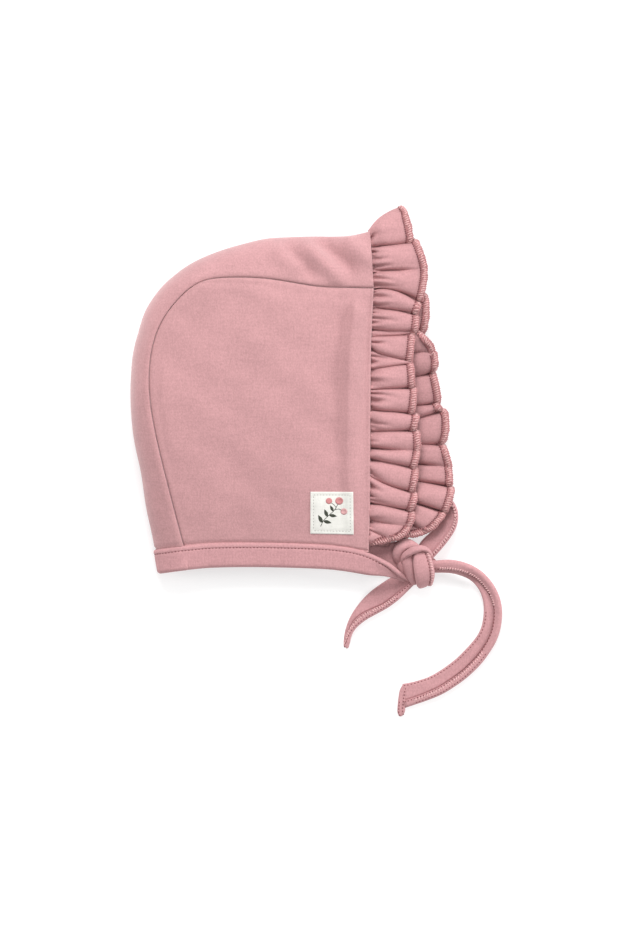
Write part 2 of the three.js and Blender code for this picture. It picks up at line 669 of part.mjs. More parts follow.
const bonnet = new THREE.Group();
function addPiece(name, geometry, material) {
  const mesh = new THREE.Mesh(geometry, material);
  mesh.name = name;
  bonnet.add(mesh);
}
addPiece("side_panel_upper", upperPanel(), pinkJersey);
addPiece("side_panel_lower", lowerPanel(), pinkJersey);
addPiece("centre_strip", centreStrip(), pinkJersey);
addPiece("face_ruffle", ruffle(), pinkJersey);
addPiece("neck_binding", binding(), pinkBinding);
addPiece("label_patch", label(), creamLabel);
addPiece("tie_lead", tieLead(), pinkBinding);
addPiece("tie_chin_loop", tieGeometry(chinLoopRows), pinkBinding);
addPiece("tie_knot", knot(), pinkBinding);
addPiece("tie_tail_long", tieGeometry(longTailRows), pinkBinding);
addPiece("tie_tail_short", tieGeometry(shortTailRows), pinkBinding);
bonnet.position.set(patternX, patternY, 0);

export default bonnet;
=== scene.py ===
"""A baby sun bonnet of soft cotton jersey, lying on its side with its ties in a loose knot.

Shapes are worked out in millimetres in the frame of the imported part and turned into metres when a
mesh is made. +Z is up, +Y points to the top of the head and +X to the face.
"""

import math

import bpy
import numpy as np
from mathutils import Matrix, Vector
from mathutils.bvhtree import BVHTree


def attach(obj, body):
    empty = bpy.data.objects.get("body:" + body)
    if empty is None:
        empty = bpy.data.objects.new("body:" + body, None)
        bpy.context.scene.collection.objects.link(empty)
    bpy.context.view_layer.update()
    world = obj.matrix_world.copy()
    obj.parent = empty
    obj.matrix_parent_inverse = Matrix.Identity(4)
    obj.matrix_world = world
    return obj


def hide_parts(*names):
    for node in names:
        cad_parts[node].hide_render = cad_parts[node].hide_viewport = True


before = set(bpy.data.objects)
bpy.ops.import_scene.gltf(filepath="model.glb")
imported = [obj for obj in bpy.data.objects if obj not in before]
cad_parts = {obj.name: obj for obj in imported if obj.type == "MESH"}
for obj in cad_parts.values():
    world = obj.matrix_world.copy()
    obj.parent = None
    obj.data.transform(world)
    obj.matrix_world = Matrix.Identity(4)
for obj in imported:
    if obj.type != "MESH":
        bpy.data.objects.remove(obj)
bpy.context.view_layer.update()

# One millimetre in metres, and a full turn
MM = 0.001
FULL_TURN = 2 * math.pi

# Sizes of the part, as its source has them
CROWN_DEPTH = 131.5
CROWN_HEIGHT = 189.0
LOFT = 32.0
PANEL_WALL = 2.0
BINDING_HEIGHT = 13.3
BINDING_WALL = 2.8
TIE_WALL = 2.4
PATTERN = np.array([42.4, -100.6, 0.0])
# Where the upper seam meets the face edge over the head, as shares of the crown's height and loft
HEAD_SEAM_SHARE = 0.834
HEAD_LOFT_SHARE = 0.53

# Sizes of the look alone: thinner cloth in the ruffle, and panels that come closer to their seams
RUFFLE_WALL = 0.9
SEAM_GAP = 0.05
# How far the lower panel stands off the surface at its front corner
CORNER_LIFT = 3.5
# The hem along the stitched edge of the binding and the ties
HEM_WIDTH = 2.7
# How far cloth, ties and ruffle stay off the surface at least
CLOTH_GAP = 0.02
TIE_GAP = 0.03
RUFFLE_GAP = 0.05

# Places in the plane of the floor are read in the photograph's own pixels
PIXEL = 0.55
ORIGIN_PX = (292.9, 392.1)
PHOTO_HEIGHT_PX = 930
PHOTO_CENTRE_PX = (310, 465)


def plan(places):
    """Millimetres on the floor for places given in pixels."""
    places = np.asarray(places, float)
    x = (places[..., 0] - ORIGIN_PX[0]) * PIXEL
    y = (ORIGIN_PX[1] - places[..., 1]) * PIXEL
    return np.stack([x, y], -1)


def smooth(x):
    """A share from 0 to 1 with soft ends, for x from 0 to 1 and beyond."""
    t = np.clip(x, 0.0, 1.0)
    return t * t * (3 - 2 * t)


def spline(rows, t):
    """A smooth curve through the rows of a table, at row numbers t."""
    rows = np.asarray(rows, float)
    last = len(rows) - 1
    t = np.asarray(t, float)
    i = np.clip(np.floor(t).astype(int), 0, last - 1)
    f = (t - i)[..., None]
    more = np.vstack([2 * rows[0] - rows[1], rows, 2 * rows[-1] - rows[-2]])
    a, b, c, d = more[i], more[i + 1], more[i + 2], more[i + 3]
    slope_b, slope_c = (c - a) / 2, (d - b) / 2
    f2, f3 = f * f, f * f * f
    out = (2 * f3 - 3 * f2 + 1) * b + (f3 - 2 * f2 + f) * slope_b
    return out + (3 * f2 - 2 * f3) * c + (f3 - f2) * slope_c


def unit(v):
    """Vectors at length one."""
    return v / np.maximum(np.linalg.norm(v, axis=-1, keepdims=True), 1e-9)


def ripples(x, y, lengths, seed, waves=7):
    """A soft random relief of height about one, made of waves of the given lengths."""
    rng = np.random.default_rng(seed)
    total = np.zeros(np.broadcast(x, y).shape)
    for k in range(waves):
        length = rng.uniform(*lengths)
        angle = rng.uniform(0, FULL_TURN)
        phase = rng.uniform(0, FULL_TURN)
        along = x * math.cos(angle) + y * math.sin(angle)
        total = total + np.sin(FULL_TURN * along / length + phase)
    return total / math.sqrt(waves / 2) / 2


# Camera, straight above as the photograph's was, with a long lens
CAMERA_HEIGHT = 6.0
SENSOR_WIDTH = 36
camera_data = bpy.data.cameras.new("camera")
camera_data.sensor_width = SENSOR_WIDTH
camera_data.lens = SENSOR_WIDTH * CAMERA_HEIGHT / (PHOTO_HEIGHT_PX * PIXEL * MM)
camera = bpy.data.objects.new("camera", camera_data)
camera.location = (*(plan(PHOTO_CENTRE_PX) * MM), CAMERA_HEIGHT)
bpy.context.collection.objects.link(camera)
bpy.context.scene.camera = camera


# Meshes
def new_piece(name, parts, material, nodes=()):
    """One object from closed meshes given as (points in mm, faces)."""
    points, faces, start = [], [], 0
    for part_points, part_faces in parts:
        part_points = np.asarray(part_points, float).reshape(-1, 3)
        points.append(part_points)
        faces.extend([[i + start for i in face] for face in facing_out(part_points, part_faces)])
        start += len(part_points)
    mesh = bpy.data.meshes.new(name)
    mesh.from_pydata((np.vstack(points) * MM).tolist(), [], faces)
    mesh.polygons.foreach_set("use_smooth", [True] * len(mesh.polygons))
    mesh.update()
    mesh.materials.append(material)
    piece = bpy.data.objects.new(name, mesh)
    bpy.context.collection.objects.link(piece)
    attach(piece, "root")
    if nodes:
        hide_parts(*nodes)
    return piece


def facing_out(points, faces):
    """The faces, turned round if their normals point inwards."""
    volume = 0.0
    for face in faces:
        a, b = points[face[0]], points[face[1]]
        for k in range(2, len(face)):
            c = points[face[k]]
            volume += (
                a[0] * (b[1] * c[2] - b[2] * c[1])
                + a[1] * (b[2] * c[0] - b[0] * c[2])
                + a[2] * (b[0] * c[1] - b[1] * c[0])
            )
            b = c
    return faces if volume > 0 else [face[::-1] for face in faces]


def wall(outer, inner):
    """A closed sheet between two grids of points."""
    rows, columns = outer.shape[:2]
    index = np.arange(rows * columns).reshape(rows, columns)
    a, b = index[:-1, :-1].ravel(), index[1:, :-1].ravel()
    c, d = index[1:, 1:].ravel(), index[:-1, 1:].ravel()
    under = rows * columns
    faces = np.stack([a, b, c, d], 1).tolist()
    faces += (np.stack([a, d, c, b], 1) + under).tolist()
    rim = list(index[:, 0]) + list(index[-1, 1:]) + list(index[-2::-1, -1]) + list(index[0, -2:0:-1])
    for k, i in enumerate(rim):
        j = rim[(k + 1) % len(rim)]
        faces.append([int(j), int(i), int(i + under), int(j + under)])
    return np.vstack([outer.reshape(-1, 3), inner.reshape(-1, 3)]), faces


def sweep(rings):
    """A closed solid through rings of points, with rounded caps."""
    count, sides = rings.shape[:2]
    index = np.arange(count * sides).reshape(count, sides)
    after = np.roll(index, -1, 1)
    faces = np.stack([index[:-1], after[:-1], after[1:], index[1:]], -1).reshape(-1, 4).tolist()
    middle = [rings[0].mean(0), rings[-1].mean(0)]
    first, last = count * sides, count * sides + 1
    for k in range(sides):
        n = (k + 1) % sides
        faces.append([first, int(index[0, n]), int(index[0, k])])
        faces.append([last, int(index[-1, k]), int(index[-1, n])])
    return np.vstack([rings.reshape(-1, 3), middle]), faces


def grid_normals(points):
    """Normals of a grid of points."""
    along = np.gradient(points, axis=0)
    across = np.gradient(points, axis=1)
    return unit(np.cross(along, across))


def along_line(line):
    """How far along a line each of its points lies."""
    lengths = np.linalg.norm(np.diff(line, axis=0), axis=1)
    return np.concatenate([[0], np.cumsum(lengths)])


def columns_at(wanted, at, table):
    """A table's columns read at the wanted places, where at has the place of each row."""
    return np.stack([np.interp(wanted, at, table[:, k]) for k in range(table.shape[1])], -1)


def resample(line, step, *tables):
    """The places of even steps along a line, its points there, and further tables carried along."""
    at = along_line(line)
    count = max(4, int(round(at[-1] / step)))
    wanted = np.linspace(0, at[-1], count + 1)
    return (wanted, *(columns_at(wanted, at, table) for table in (line, *tables)))


def nearest(at, spots):
    """Numbers of the points that lie at the spots along a line."""
    return np.clip(np.searchsorted(at, spots), 0, len(at) - 1)


def softened(values, passes):
    """Rows of values, each drawn towards its neighbours."""
    values = np.array(values, float)
    for _ in range(passes):
        values[1:-1] = (values[:-2] + 2 * values[1:-1] + values[2:]) / 4
    return values


def turned_alike(directions, passes):
    """Rows of unit vectors, each turned towards its neighbours."""
    for _ in range(passes):
        directions[1:-1] = unit(directions[:-2] + 2 * directions[1:-1] + directions[2:])
    return directions


def bell(x, width):
    """A bell curve, 1 in its middle and falling off over the width."""
    return np.exp(-((x / width) ** 2))


def circle(count):
    """Angles at even steps round a circle."""
    return np.linspace(0, FULL_TURN, count, endpoint=False)


def keep_above(points, height):
    """Raises the points that lie lower than a height."""
    points[..., 2] = np.maximum(points[..., 2], height)


# Rays to a surface start this high over the floor, in metres
RAY_START = 0.1


def surface_of(piece):
    """A piece's surface, to be found by rays."""
    return BVHTree.FromObject(piece, bpy.context.evaluated_depsgraph_get())


def height_on(surface, x, y):
    """Height in mm of a surface over a place on the floor."""
    hit = surface.ray_cast(Vector((x * MM, y * MM, RAY_START)), Vector((0, 0, -1)))
    return hit[0].z / MM


# Materials
def make_material(name, colour, roughness=0.9, sheen=0.45, sheen_tint=(1, 1, 1)):
    material = bpy.data.materials.new(name)
    material.use_nodes = True
    tree = material.node_tree
    shader = tree.nodes["Principled BSDF"]
    shader.inputs["Base Color"].default_value = (*colour, 1)
    shader.inputs["Roughness"].default_value = roughness
    shader.inputs["Sheen Weight"].default_value = sheen
    shader.inputs["Sheen Roughness"].default_value = 0.5
    shader.inputs["Sheen Tint"].default_value = (*sheen_tint, 1)
    shader.inputs["Specular IOR Level"].default_value = 0.2
    return material, tree, shader


def math_node(tree, operation, *values):
    node = tree.nodes.new("ShaderNodeMath")
    node.operation = operation
    for k, value in enumerate(values):
        if isinstance(value, (int, float)):
            node.inputs[k].default_value = value
        else:
            tree.links.new(value, node.inputs[k])
    return node.outputs[0]


def noise_node(tree, scales, detail=2.0, roughness=0.5):
    """Noise in the object's own space. scales are the sizes of its grain in mm along X, Y and Z."""
    place = tree.nodes.new("ShaderNodeTexCoord")
    stretch = tree.nodes.new("ShaderNodeMapping")
    stretch.inputs["Scale"].default_value = [1 / (size * MM) for size in scales]
    noise = tree.nodes.new("ShaderNodeTexNoise")
    noise.inputs["Scale"].default_value = 1
    noise.inputs["Detail"].default_value = detail
    noise.inputs["Roughness"].default_value = roughness
    tree.links.new(place.outputs["Object"], stretch.inputs["Vector"])
    tree.links.new(stretch.outputs["Vector"], noise.inputs["Vector"])
    return noise.outputs["Fac"]


def dress(tree, shader, colour, light, height, strength, distance):
    """Scales the colour by light, and raises the surface by height."""
    tint = tree.nodes.new("ShaderNodeVectorMath")
    tint.operation = "SCALE"
    tint.inputs[0].default_value = colour
    tree.links.new(light, tint.inputs["Scale"])
    tree.links.new(tint.outputs["Vector"], shader.inputs["Base Color"])
    bump = tree.nodes.new("ShaderNodeBump")
    bump.inputs["Strength"].default_value = strength
    bump.inputs["Distance"].default_value = distance
    tree.links.new(height, bump.inputs["Height"])
    tree.links.new(bump.outputs["Normal"], shader.inputs["Normal"])


# Width and height of a knitted loop in mm, and how much the streaks along and across change the colour
LOOP_WIDTH = 0.8
LOOP_HEIGHT = 0.6
STREAK = 0.16


def jersey(name, colour, mottle=0.09, grain=0.5, sheen=0.45, sheen_tint=(1, 1, 1)):
    """Cotton jersey: fine upright wales, a soft pile and slightly uneven dye."""
    material, tree, shader = make_material(name, colour, 0.9, sheen, sheen_tint)
    cloud = noise_node(tree, (26, 34, 26), 3)
    fleck = noise_node(tree, (0.8, 1.1, 0.8), 2, 0.6)
    place = tree.nodes.new("ShaderNodeTexCoord")
    split = tree.nodes.new("ShaderNodeSeparateXYZ")
    tree.links.new(place.outputs["Object"], split.inputs[0])
    column = math_node(tree, "MULTIPLY", split.outputs["X"], FULL_TURN / (LOOP_WIDTH * MM))
    course = math_node(tree, "MULTIPLY", split.outputs["Y"], FULL_TURN / (LOOP_HEIGHT * MM))
    loops = math_node(tree, "MULTIPLY", math_node(tree, "SINE", column), math_node(tree, "SINE", course))
    light = math_node(tree, "MULTIPLY_ADD", cloud, mottle * 2, 1 - mottle)
    light = math_node(tree, "ADD", light, math_node(tree, "MULTIPLY_ADD", fleck, grain, -grain / 2))
    for streak_sizes in ((0.9, 7, 0.9), (8, 0.9, 8)):
        streaks = math_node(tree, "MULTIPLY_ADD", noise_node(tree, streak_sizes, 2), STREAK, -STREAK / 2)
        light = math_node(tree, "ADD", light, streaks)
    light = math_node(tree, "MULTIPLY_ADD", loops, 0.02, light)
    height = math_node(tree, "MULTIPLY_ADD", loops, 0.25, math_node(tree, "MULTIPLY", fleck, 0.9))
    dress(tree, shader, colour, light, height, strength=0.45, distance=0.25 * MM)
    return material


def thread(name, colour, roughness=0.8, contrast=0.5, grain=0.35):
    """Twisted sewing thread."""
    material, tree, shader = make_material(name, colour, roughness, 0.3)
    fleck = noise_node(tree, (grain, grain, grain), 2)
    light = math_node(tree, "MULTIPLY_ADD", fleck, contrast, 1 - contrast / 2)
    dress(tree, shader, colour, light, fleck, strength=0.4, distance=0.1 * MM)
    return material


panel_cloth = jersey("panel_cloth", (0.455, 0.243, 0.25), sheen=0.55, sheen_tint=(1, 0.85, 0.85))
ruffle_cloth = jersey("ruffle_cloth", (0.46, 0.243, 0.25), mottle=0.05, sheen=0.25, sheen_tint=(1, 0.6, 0.6))
binding_cloth = jersey("binding_cloth", (0.475, 0.25, 0.26), mottle=0.05, sheen=0.3, sheen_tint=(1, 0.7, 0.7))
# Stitches: real thread, darkened well below the cloth to paint the shade of the holes they sink into
thread_and_hole_shade = thread("thread_and_hole_shade", (0.19, 0.055, 0.06))
# The overlock's core: the cloth's raw edge, darkened to paint the shade in the gaps between its wraps
overlock_gap_shade = thread("overlock_gap_shade", (0.365, 0.16, 0.163), roughness=0.9, contrast=2.2, grain=0.5)
edge_thread = thread("edge_thread", (0.6, 0.345, 0.34), roughness=0.9, contrast=1.2, grain=0.6)
tie_thread = thread("tie_thread", (0.62, 0.37, 0.37), roughness=0.9)
label_cloth = jersey("label_cloth", (0.66, 0.65, 0.61), mottle=0.02, grain=0.06)
label_thread = thread("label_thread", (0.30, 0.29, 0.26))
leaf_print = thread("leaf_print", (0.042, 0.048, 0.034), roughness=0.95)
berry_print = thread("berry_print", (0.50, 0.205, 0.205), roughness=0.95)
pale_print = thread("pale_print", (0.56, 0.31, 0.31), roughness=0.95)

# The crown, by the part's own tables: shares of the crown's depth, height and loft. Only the outline
# over the head is 0.8 to 1.7 mm higher here, in the second to fourth rows.
CROWN_ROWS = np.array([
    # outline x, outline y, seam x, seam y, loft
    [0.0, 1.0, -0.015, HEAD_SEAM_SHARE, HEAD_LOFT_SHARE],
    [0.075, 0.988, 0.105, 0.836, 0.56],
    [0.188, 0.984, 0.218, 0.838, 0.62],
    [0.418, 0.979, 0.439, 0.862, 0.78],
    [0.64, 0.937, 0.632, 0.863, 0.92],
    [0.741, 0.907, 0.699, 0.854, 0.96],
    [0.824, 0.869, 0.757, 0.831, 0.98],
    [0.939, 0.766, 0.858, 0.751, 1.0],
    [0.99, 0.638, 0.911, 0.655, 1.0],
    [1.0, 0.509, 0.921, 0.533, 1.0],
    [0.981, 0.376, 0.891, 0.399, 0.94],
    [0.937, 0.218, 0.833, 0.233, 0.78],
    [0.9, 0.07, 0.776, 0.0815, 0.6],
])
CORNER_ROW = 5
LAST_ROW = len(CROWN_ROWS) - 1
UPPER_FACE = [
    [0.006, 0.067, 0.48],
    [0.0, 0.218, 0.51],
    [-0.001, 0.422, 0.54],
    [-0.004, 0.655, 0.55],
    [-0.015, HEAD_SEAM_SHARE, HEAD_LOFT_SHARE],
]
UPPER_HEM = [
    [0.776, 0.0815, 0.6],
    [0.653, 0.0888, 0.55],
    [0.448, 0.0902, 0.51],
    [0.172, 0.0836, 0.49],
    [0.006, 0.067, 0.48],
]
LOWER_FACE = [
    [-0.084, 0.079, 0],
    [-0.13, 0.218, 0],
    [-0.15, 0.332, 0],
    [-0.138, 0.474, 0],
    [-0.092, 0.643, 0],
    [-0.046, HEAD_SEAM_SHARE, 0],
]
LOWER_HEM = [
    [0.776, 0.0815, 0],
    [0.653, 0.0888, 0],
    [0.448, 0.0902, 0],
    [0.172, 0.0885, 0],
    [-0.084, 0.079, 0],
]
LOWER_SEAM_SHIFT = 0.031
LOWER_SEAM_SHIFT_ROWS = 3


def place(shares):
    """Places in mm for shares of the crown's depth, height and loft."""
    shares = np.asarray(shares, float)
    return shares * np.array([-CROWN_DEPTH, CROWN_HEIGHT, LOFT]) + PATTERN


FINE_COUNT = 1200
FINE_ROWS = np.linspace(0, LAST_ROW, FINE_COUNT + 1)


def eased(curve, reach):
    """The curve with its small kinks evened out over reach mm, but with its ends kept."""
    at = along_line(curve)
    even = np.linspace(0, at[-1], FINE_COUNT + 1)
    line = columns_at(even, at, curve)
    width = int(reach / (at[-1] / FINE_COUNT))
    kernel = np.hanning(2 * width + 1)
    kernel /= kernel.sum()
    ahead, behind = 2 * line[0] - line[width:0:-1], 2 * line[-1] - line[-2 : -width - 2 : -1]
    padded = np.vstack([ahead, line, behind])
    line = np.stack([np.convolve(padded[:, k], kernel, "valid") for k in range(3)], 1)
    return columns_at(at, even, line)


fine_crown = spline(CROWN_ROWS, FINE_ROWS)
SEAM_CURVE = eased(place(fine_crown[:, 2:5]), reach=14)
EDGE_CURVE = eased(place(fine_crown[:, [0, 1, 1]]) * np.array([1, 1, 0]), reach=10)


def outline(t):
    return columns_at(t, FINE_ROWS, EDGE_CURVE)


def upper_seam(t):
    return columns_at(t, FINE_ROWS, SEAM_CURVE)


def lower_seam(t):
    """The seam on the surface, which lies further forward than the upper one over the head."""
    seam = upper_seam(t)
    seam[..., 0] += np.maximum(0, 1 - t / LOWER_SEAM_SHIFT_ROWS) ** 2 * LOWER_SEAM_SHIFT * CROWN_DEPTH
    seam[..., 2] = 0
    return seam


def strip_point(t, turn, depth):
    """The centre strip: t along its rows, turn from 0 at the upper seam to 1 at the lower one."""
    t, turn, depth = np.broadcast_arrays(t, turn, depth)
    angle = turn * math.pi
    upper, lower, edge = upper_seam(t), lower_seam(t), outline(t)
    seam = np.where((turn < 0.5)[..., None], upper, lower)
    half = upper[..., 2] / 2
    span = np.hypot(edge[..., 0] - seam[..., 0], edge[..., 1] - seam[..., 1])
    share = (span - depth) / span * np.sin(angle)
    xy = seam[..., :2] + (edge[..., :2] - seam[..., :2]) * share[..., None]
    return np.concatenate([xy, (half + (half - depth) * np.cos(angle))[..., None]], -1)


def panel_side(seam, edge):
    """Places on a panel's side of the seam that it shares with the strip."""
    inwards = unit((seam - edge) * np.array([1, 1, 0]))
    return seam + inwards * SEAM_GAP


def panel_edges(seam, face_rows, hem_rows):
    """The four edge curves of a panel, each over shares from 0 to 1."""

    def seam_at(t):
        t = np.asarray(t, float)
        return panel_side(seam(t), outline(t))

    nape, head = seam_at(LAST_ROW), seam_at(0)

    def face(v):
        curve = place(spline(face_rows, v * (len(face_rows) - 1)))
        return curve + (head - place(face_rows[-1])) * np.asarray(v)[..., None]

    def hem(u):
        curve = place(spline(hem_rows, u * (len(hem_rows) - 1)))
        return curve + (nape - place(hem_rows[0])) * (1 - np.asarray(u))[..., None]

    return {
        "back": lambda v: seam_at(LAST_ROW + (CORNER_ROW - LAST_ROW) * np.asarray(v)),
        "top": lambda u: seam_at(CORNER_ROW * (1 - np.asarray(u))),
        "face": face,
        "hem": hem,
    }


def patch(edges, u, v):
    """A soft four-sided patch between four edge curves, as a grid over u and v."""
    back, face, hem, top = (edges[k] for k in ("back", "face", "hem", "top"))
    gu, gv = u[:, None, None], v[None, :, None]
    points = back(v)[None] * (1 - gu) + face(v)[None] * gu
    points = points + hem(u)[:, None] * (1 - gv) + top(u)[:, None] * gv
    corners = [(back(0.0), (1 - gu) * (1 - gv)), (face(0.0), gu * (1 - gv)), (back(1.0), (1 - gu) * gv)]
    corners.append((face(1.0), gu * gv))
    for corner, share in corners:
        points = points - corner * share
    return points


UPPER_EDGES = panel_edges(upper_seam, UPPER_FACE, UPPER_HEM)
LOWER_EDGES = panel_edges(lower_seam, LOWER_FACE, LOWER_HEM)


def fine_ends(count, length, fine):
    """Shares from 0 to 1 that lie closer together within fine mm of both ends."""
    near = np.array([0, 0.12, 0.28, 0.45, 0.65, 1.0]) * fine / length
    middle = np.linspace(fine / length, 1 - fine / length, count)
    return np.concatenate([near[:-1], middle, 1 - near[:-1][::-1]])


def rolled(distance, radius):
    """How far cloth drops where it turns down into a seam or a folded edge."""
    share = np.clip(1 - distance / radius, 0, 1)
    return -radius * (1 - np.sqrt(1 - share**2))


def bump_at(u, v, cu, cv, spread_u, spread_v, rise):
    """A soft mound about the middle (cu, cv), or a hollow where rise is negative."""
    return rise * np.exp(-(((u - cu) / spread_u) ** 2) - ((v - cv) / spread_v) ** 2)


# Sizes of the panels in mm, and how near their edges the rows of points lie closer together
UPPER_PANEL_DEPTH = 126.0
LOWER_PANEL_DEPTH = 130.0
PANEL_HEIGHT = 146.0
FINE_RIM = 1.8
# How round the cloth turns down into a seam and over the folded face edge
SEAM_RADIUS = 1.3
FACE_RADIUS = 0.9
# The upper panel's mounds and hollows: middle and spread as shares across and up, and height in mm
PANEL_MOUNDS = [
    (0.45, 0.5, 0.42, 0.42, 3.2),
    (0.3, 0.78, 0.16, 0.08, -0.7),
    (0.5, 0.22, 0.2, 0.1, -0.6),
]
# The ridge where the face hem is folded in, steeper on its back side than towards the face edge
RIDGE_AT, RIDGE_UP = 0.885, 0.66
RIDGE_SPREAD_BACK = 0.036
RIDGE_SPREAD_FACE = 0.075
RIDGE_SPREAD_UP = 0.46
RIDGE_HEIGHT = 4.4


def edge_fade(u, v, face_rate):
    """A share that is 1 over a panel's middle and comes down to 0 at its edges."""
    across = smooth(u * 8) * smooth((1 - u) * face_rate)
    return across * smooth(v * 8) * smooth((1 - v) * 8)


def upper_panel():
    u = fine_ends(112, UPPER_PANEL_DEPTH, FINE_RIM)
    v = fine_ends(132, PANEL_HEIGHT, FINE_RIM)
    points = patch(UPPER_EDGES, u, v)
    gu, gv = np.meshgrid(u, v, indexing="ij")
    relief = sum(bump_at(gu, gv, *mound) for mound in PANEL_MOUNDS)
    ridge_spread = np.where(gu < RIDGE_AT, RIDGE_SPREAD_BACK, RIDGE_SPREAD_FACE)
    relief += bump_at(gu, gv, RIDGE_AT, RIDGE_UP, ridge_spread, RIDGE_SPREAD_UP, RIDGE_HEIGHT)
    relief += 0.55 * ripples(points[..., 0], points[..., 1], (22, 64), seed=11)
    relief += 0.13 * ripples(points[..., 0], points[..., 1], (9, 20), seed=12)
    points[..., 2] += edge_fade(gu, gv, 12) * relief
    inner = points - np.array([0, 0, PANEL_WALL])
    left, right = gu * UPPER_PANEL_DEPTH, (1 - gu) * UPPER_PANEL_DEPTH
    bottom, top = gv * PANEL_HEIGHT, (1 - gv) * PANEL_HEIGHT
    seam = np.minimum(left, top)
    drop = rolled(left, SEAM_RADIUS) + rolled(top, SEAM_RADIUS) + rolled(right, FACE_RADIUS)
    # A bead along the face edge, and furrows along the seams and the binding
    drop += 0.45 * bell(right - 1.2, 0.8)
    drop -= 0.5 * np.exp(-seam / 1.6) + 0.9 * bell(bottom - 0.9, 0.7)
    # Seam allowances inside lift the cloth a little beside the seams
    beside = 0.25 * bell(seam - 4, 3)
    outer = points.copy()
    outer[..., 2] += np.maximum(drop, 0.2 - PANEL_WALL) + beside * smooth(bottom / 20)
    return outer, inner


def lower_panel():
    u = fine_ends(60, LOWER_PANEL_DEPTH, FINE_RIM)
    v = fine_ends(70, PANEL_HEIGHT, FINE_RIM)
    points = patch(LOWER_EDGES, u, v)
    gu, gv = np.meshgrid(u, v, indexing="ij")
    points[..., 2] += CORNER_LIFT * smooth((gu - 0.78) / 0.22) * smooth((0.24 - gv) / 0.24)
    drop = rolled((1 - gu) * LOWER_PANEL_DEPTH, FACE_RADIUS)
    inner = points + np.array([0, 0, CLOTH_GAP])
    inner[..., 2] -= drop * 0.3
    outer = points + np.array([0, 0, PANEL_WALL])
    outer[..., 2] += drop * 0.6
    waves = ripples(points[..., 0], points[..., 1], (20, 60), seed=31)
    outer[..., 2] += 0.2 * edge_fade(gu, gv, 8) * waves
    return outer, inner


# The strip's columns beside its seams, as shares of the way from the upper seam to the lower one
SEAM_TURNS = np.array([0, 0.006, 0.014, 0.024, 0.036, 0.05])
# Length of the strip in mm from its last row but one to its end
LAST_ROW_LENGTH = 27
# Soft diagonal folds at the front of the strip: both ends in pixels, half width and height in mm
STRIP_FOLDS = [
    ((271, 246), (299, 272), 5.0, 1.5),
    ((286, 246), (314, 276), 3.6, -1.6),
    ((300, 243), (341, 281), 4.6, 3.4),
    ((319, 240), (354, 272), 4.2, -3.0),
    ((342, 236), (372, 264), 4.8, 2.8),
]


def strip_folds(x, y):
    """Height of the diagonal folds over places on the floor."""
    total = np.zeros_like(x)
    for start_px, end_px, half_width, height in STRIP_FOLDS:
        start, end = plan(start_px), plan(end_px)
        along = unit(end - start)
        offset = np.stack([x - start[0], y - start[1]], -1)
        share = (offset @ along) / np.linalg.norm(end - start)
        away = offset @ np.array([-along[1], along[0]])
        total += height * bell(away, half_width) * smooth(share * 3 + 0.2) * smooth((1.15 - share) * 3)
    return total


def centre_strip():
    t = np.concatenate([np.linspace(0, 3, 90)[:-1], np.linspace(3, LAST_ROW, 190)])
    turn = np.concatenate([SEAM_TURNS, np.linspace(0.07, 0.93, 44), 1 - SEAM_TURNS[::-1]])
    gt, gturn = np.meshgrid(t, turn, indexing="ij")
    points = strip_point(gt, gturn, 0.0)
    normals = grid_normals(points)
    if normals[:, : len(turn) // 3, 2].mean() < 0:
        normals = -normals
    lengths = np.linalg.norm(np.diff(points, axis=1), axis=2)
    from_upper = np.concatenate([np.zeros((len(t), 1)), np.cumsum(lengths, axis=1)], axis=1)
    near = np.minimum(from_upper, from_upper[:, -1:] - from_upper)
    # The cloth turns down into its seams, swells beside them and has a furrow along the binding
    rise = rolled(near, 1.1) + 0.5 * np.exp(-((near - 2.4) ** 2) / 5)
    rise -= 0.9 * bell((LAST_ROW - gt) * LAST_ROW_LENGTH - 0.9, 0.8)
    x, y = points[..., 0], points[..., 1]
    rise += smooth(near / 12) * 0.35 * ripples(x, y, (16, 48), seed=21)
    fold = strip_folds(x, y) * (gturn < 0.5) * smooth(from_upper / 3) * smooth((0.5 - gturn) * 7)
    outer = points + normals * (np.maximum(rise, -0.95) + fold)[..., None]
    keep_above(outer, CLOTH_GAP)
    return outer, strip_point(gt, gturn, PANEL_WALL) + normals * fold[..., None]


side_upper = new_piece(
    "side_upper", [wall(*upper_panel())], panel_cloth, ["side_panel_upper"]
)
side_lower = new_piece(
    "side_lower", [wall(*lower_panel())], panel_cloth, ["side_panel_lower"]
)
strip = new_piece("head_strip", [wall(*centre_strip())], panel_cloth, ["centre_strip"])

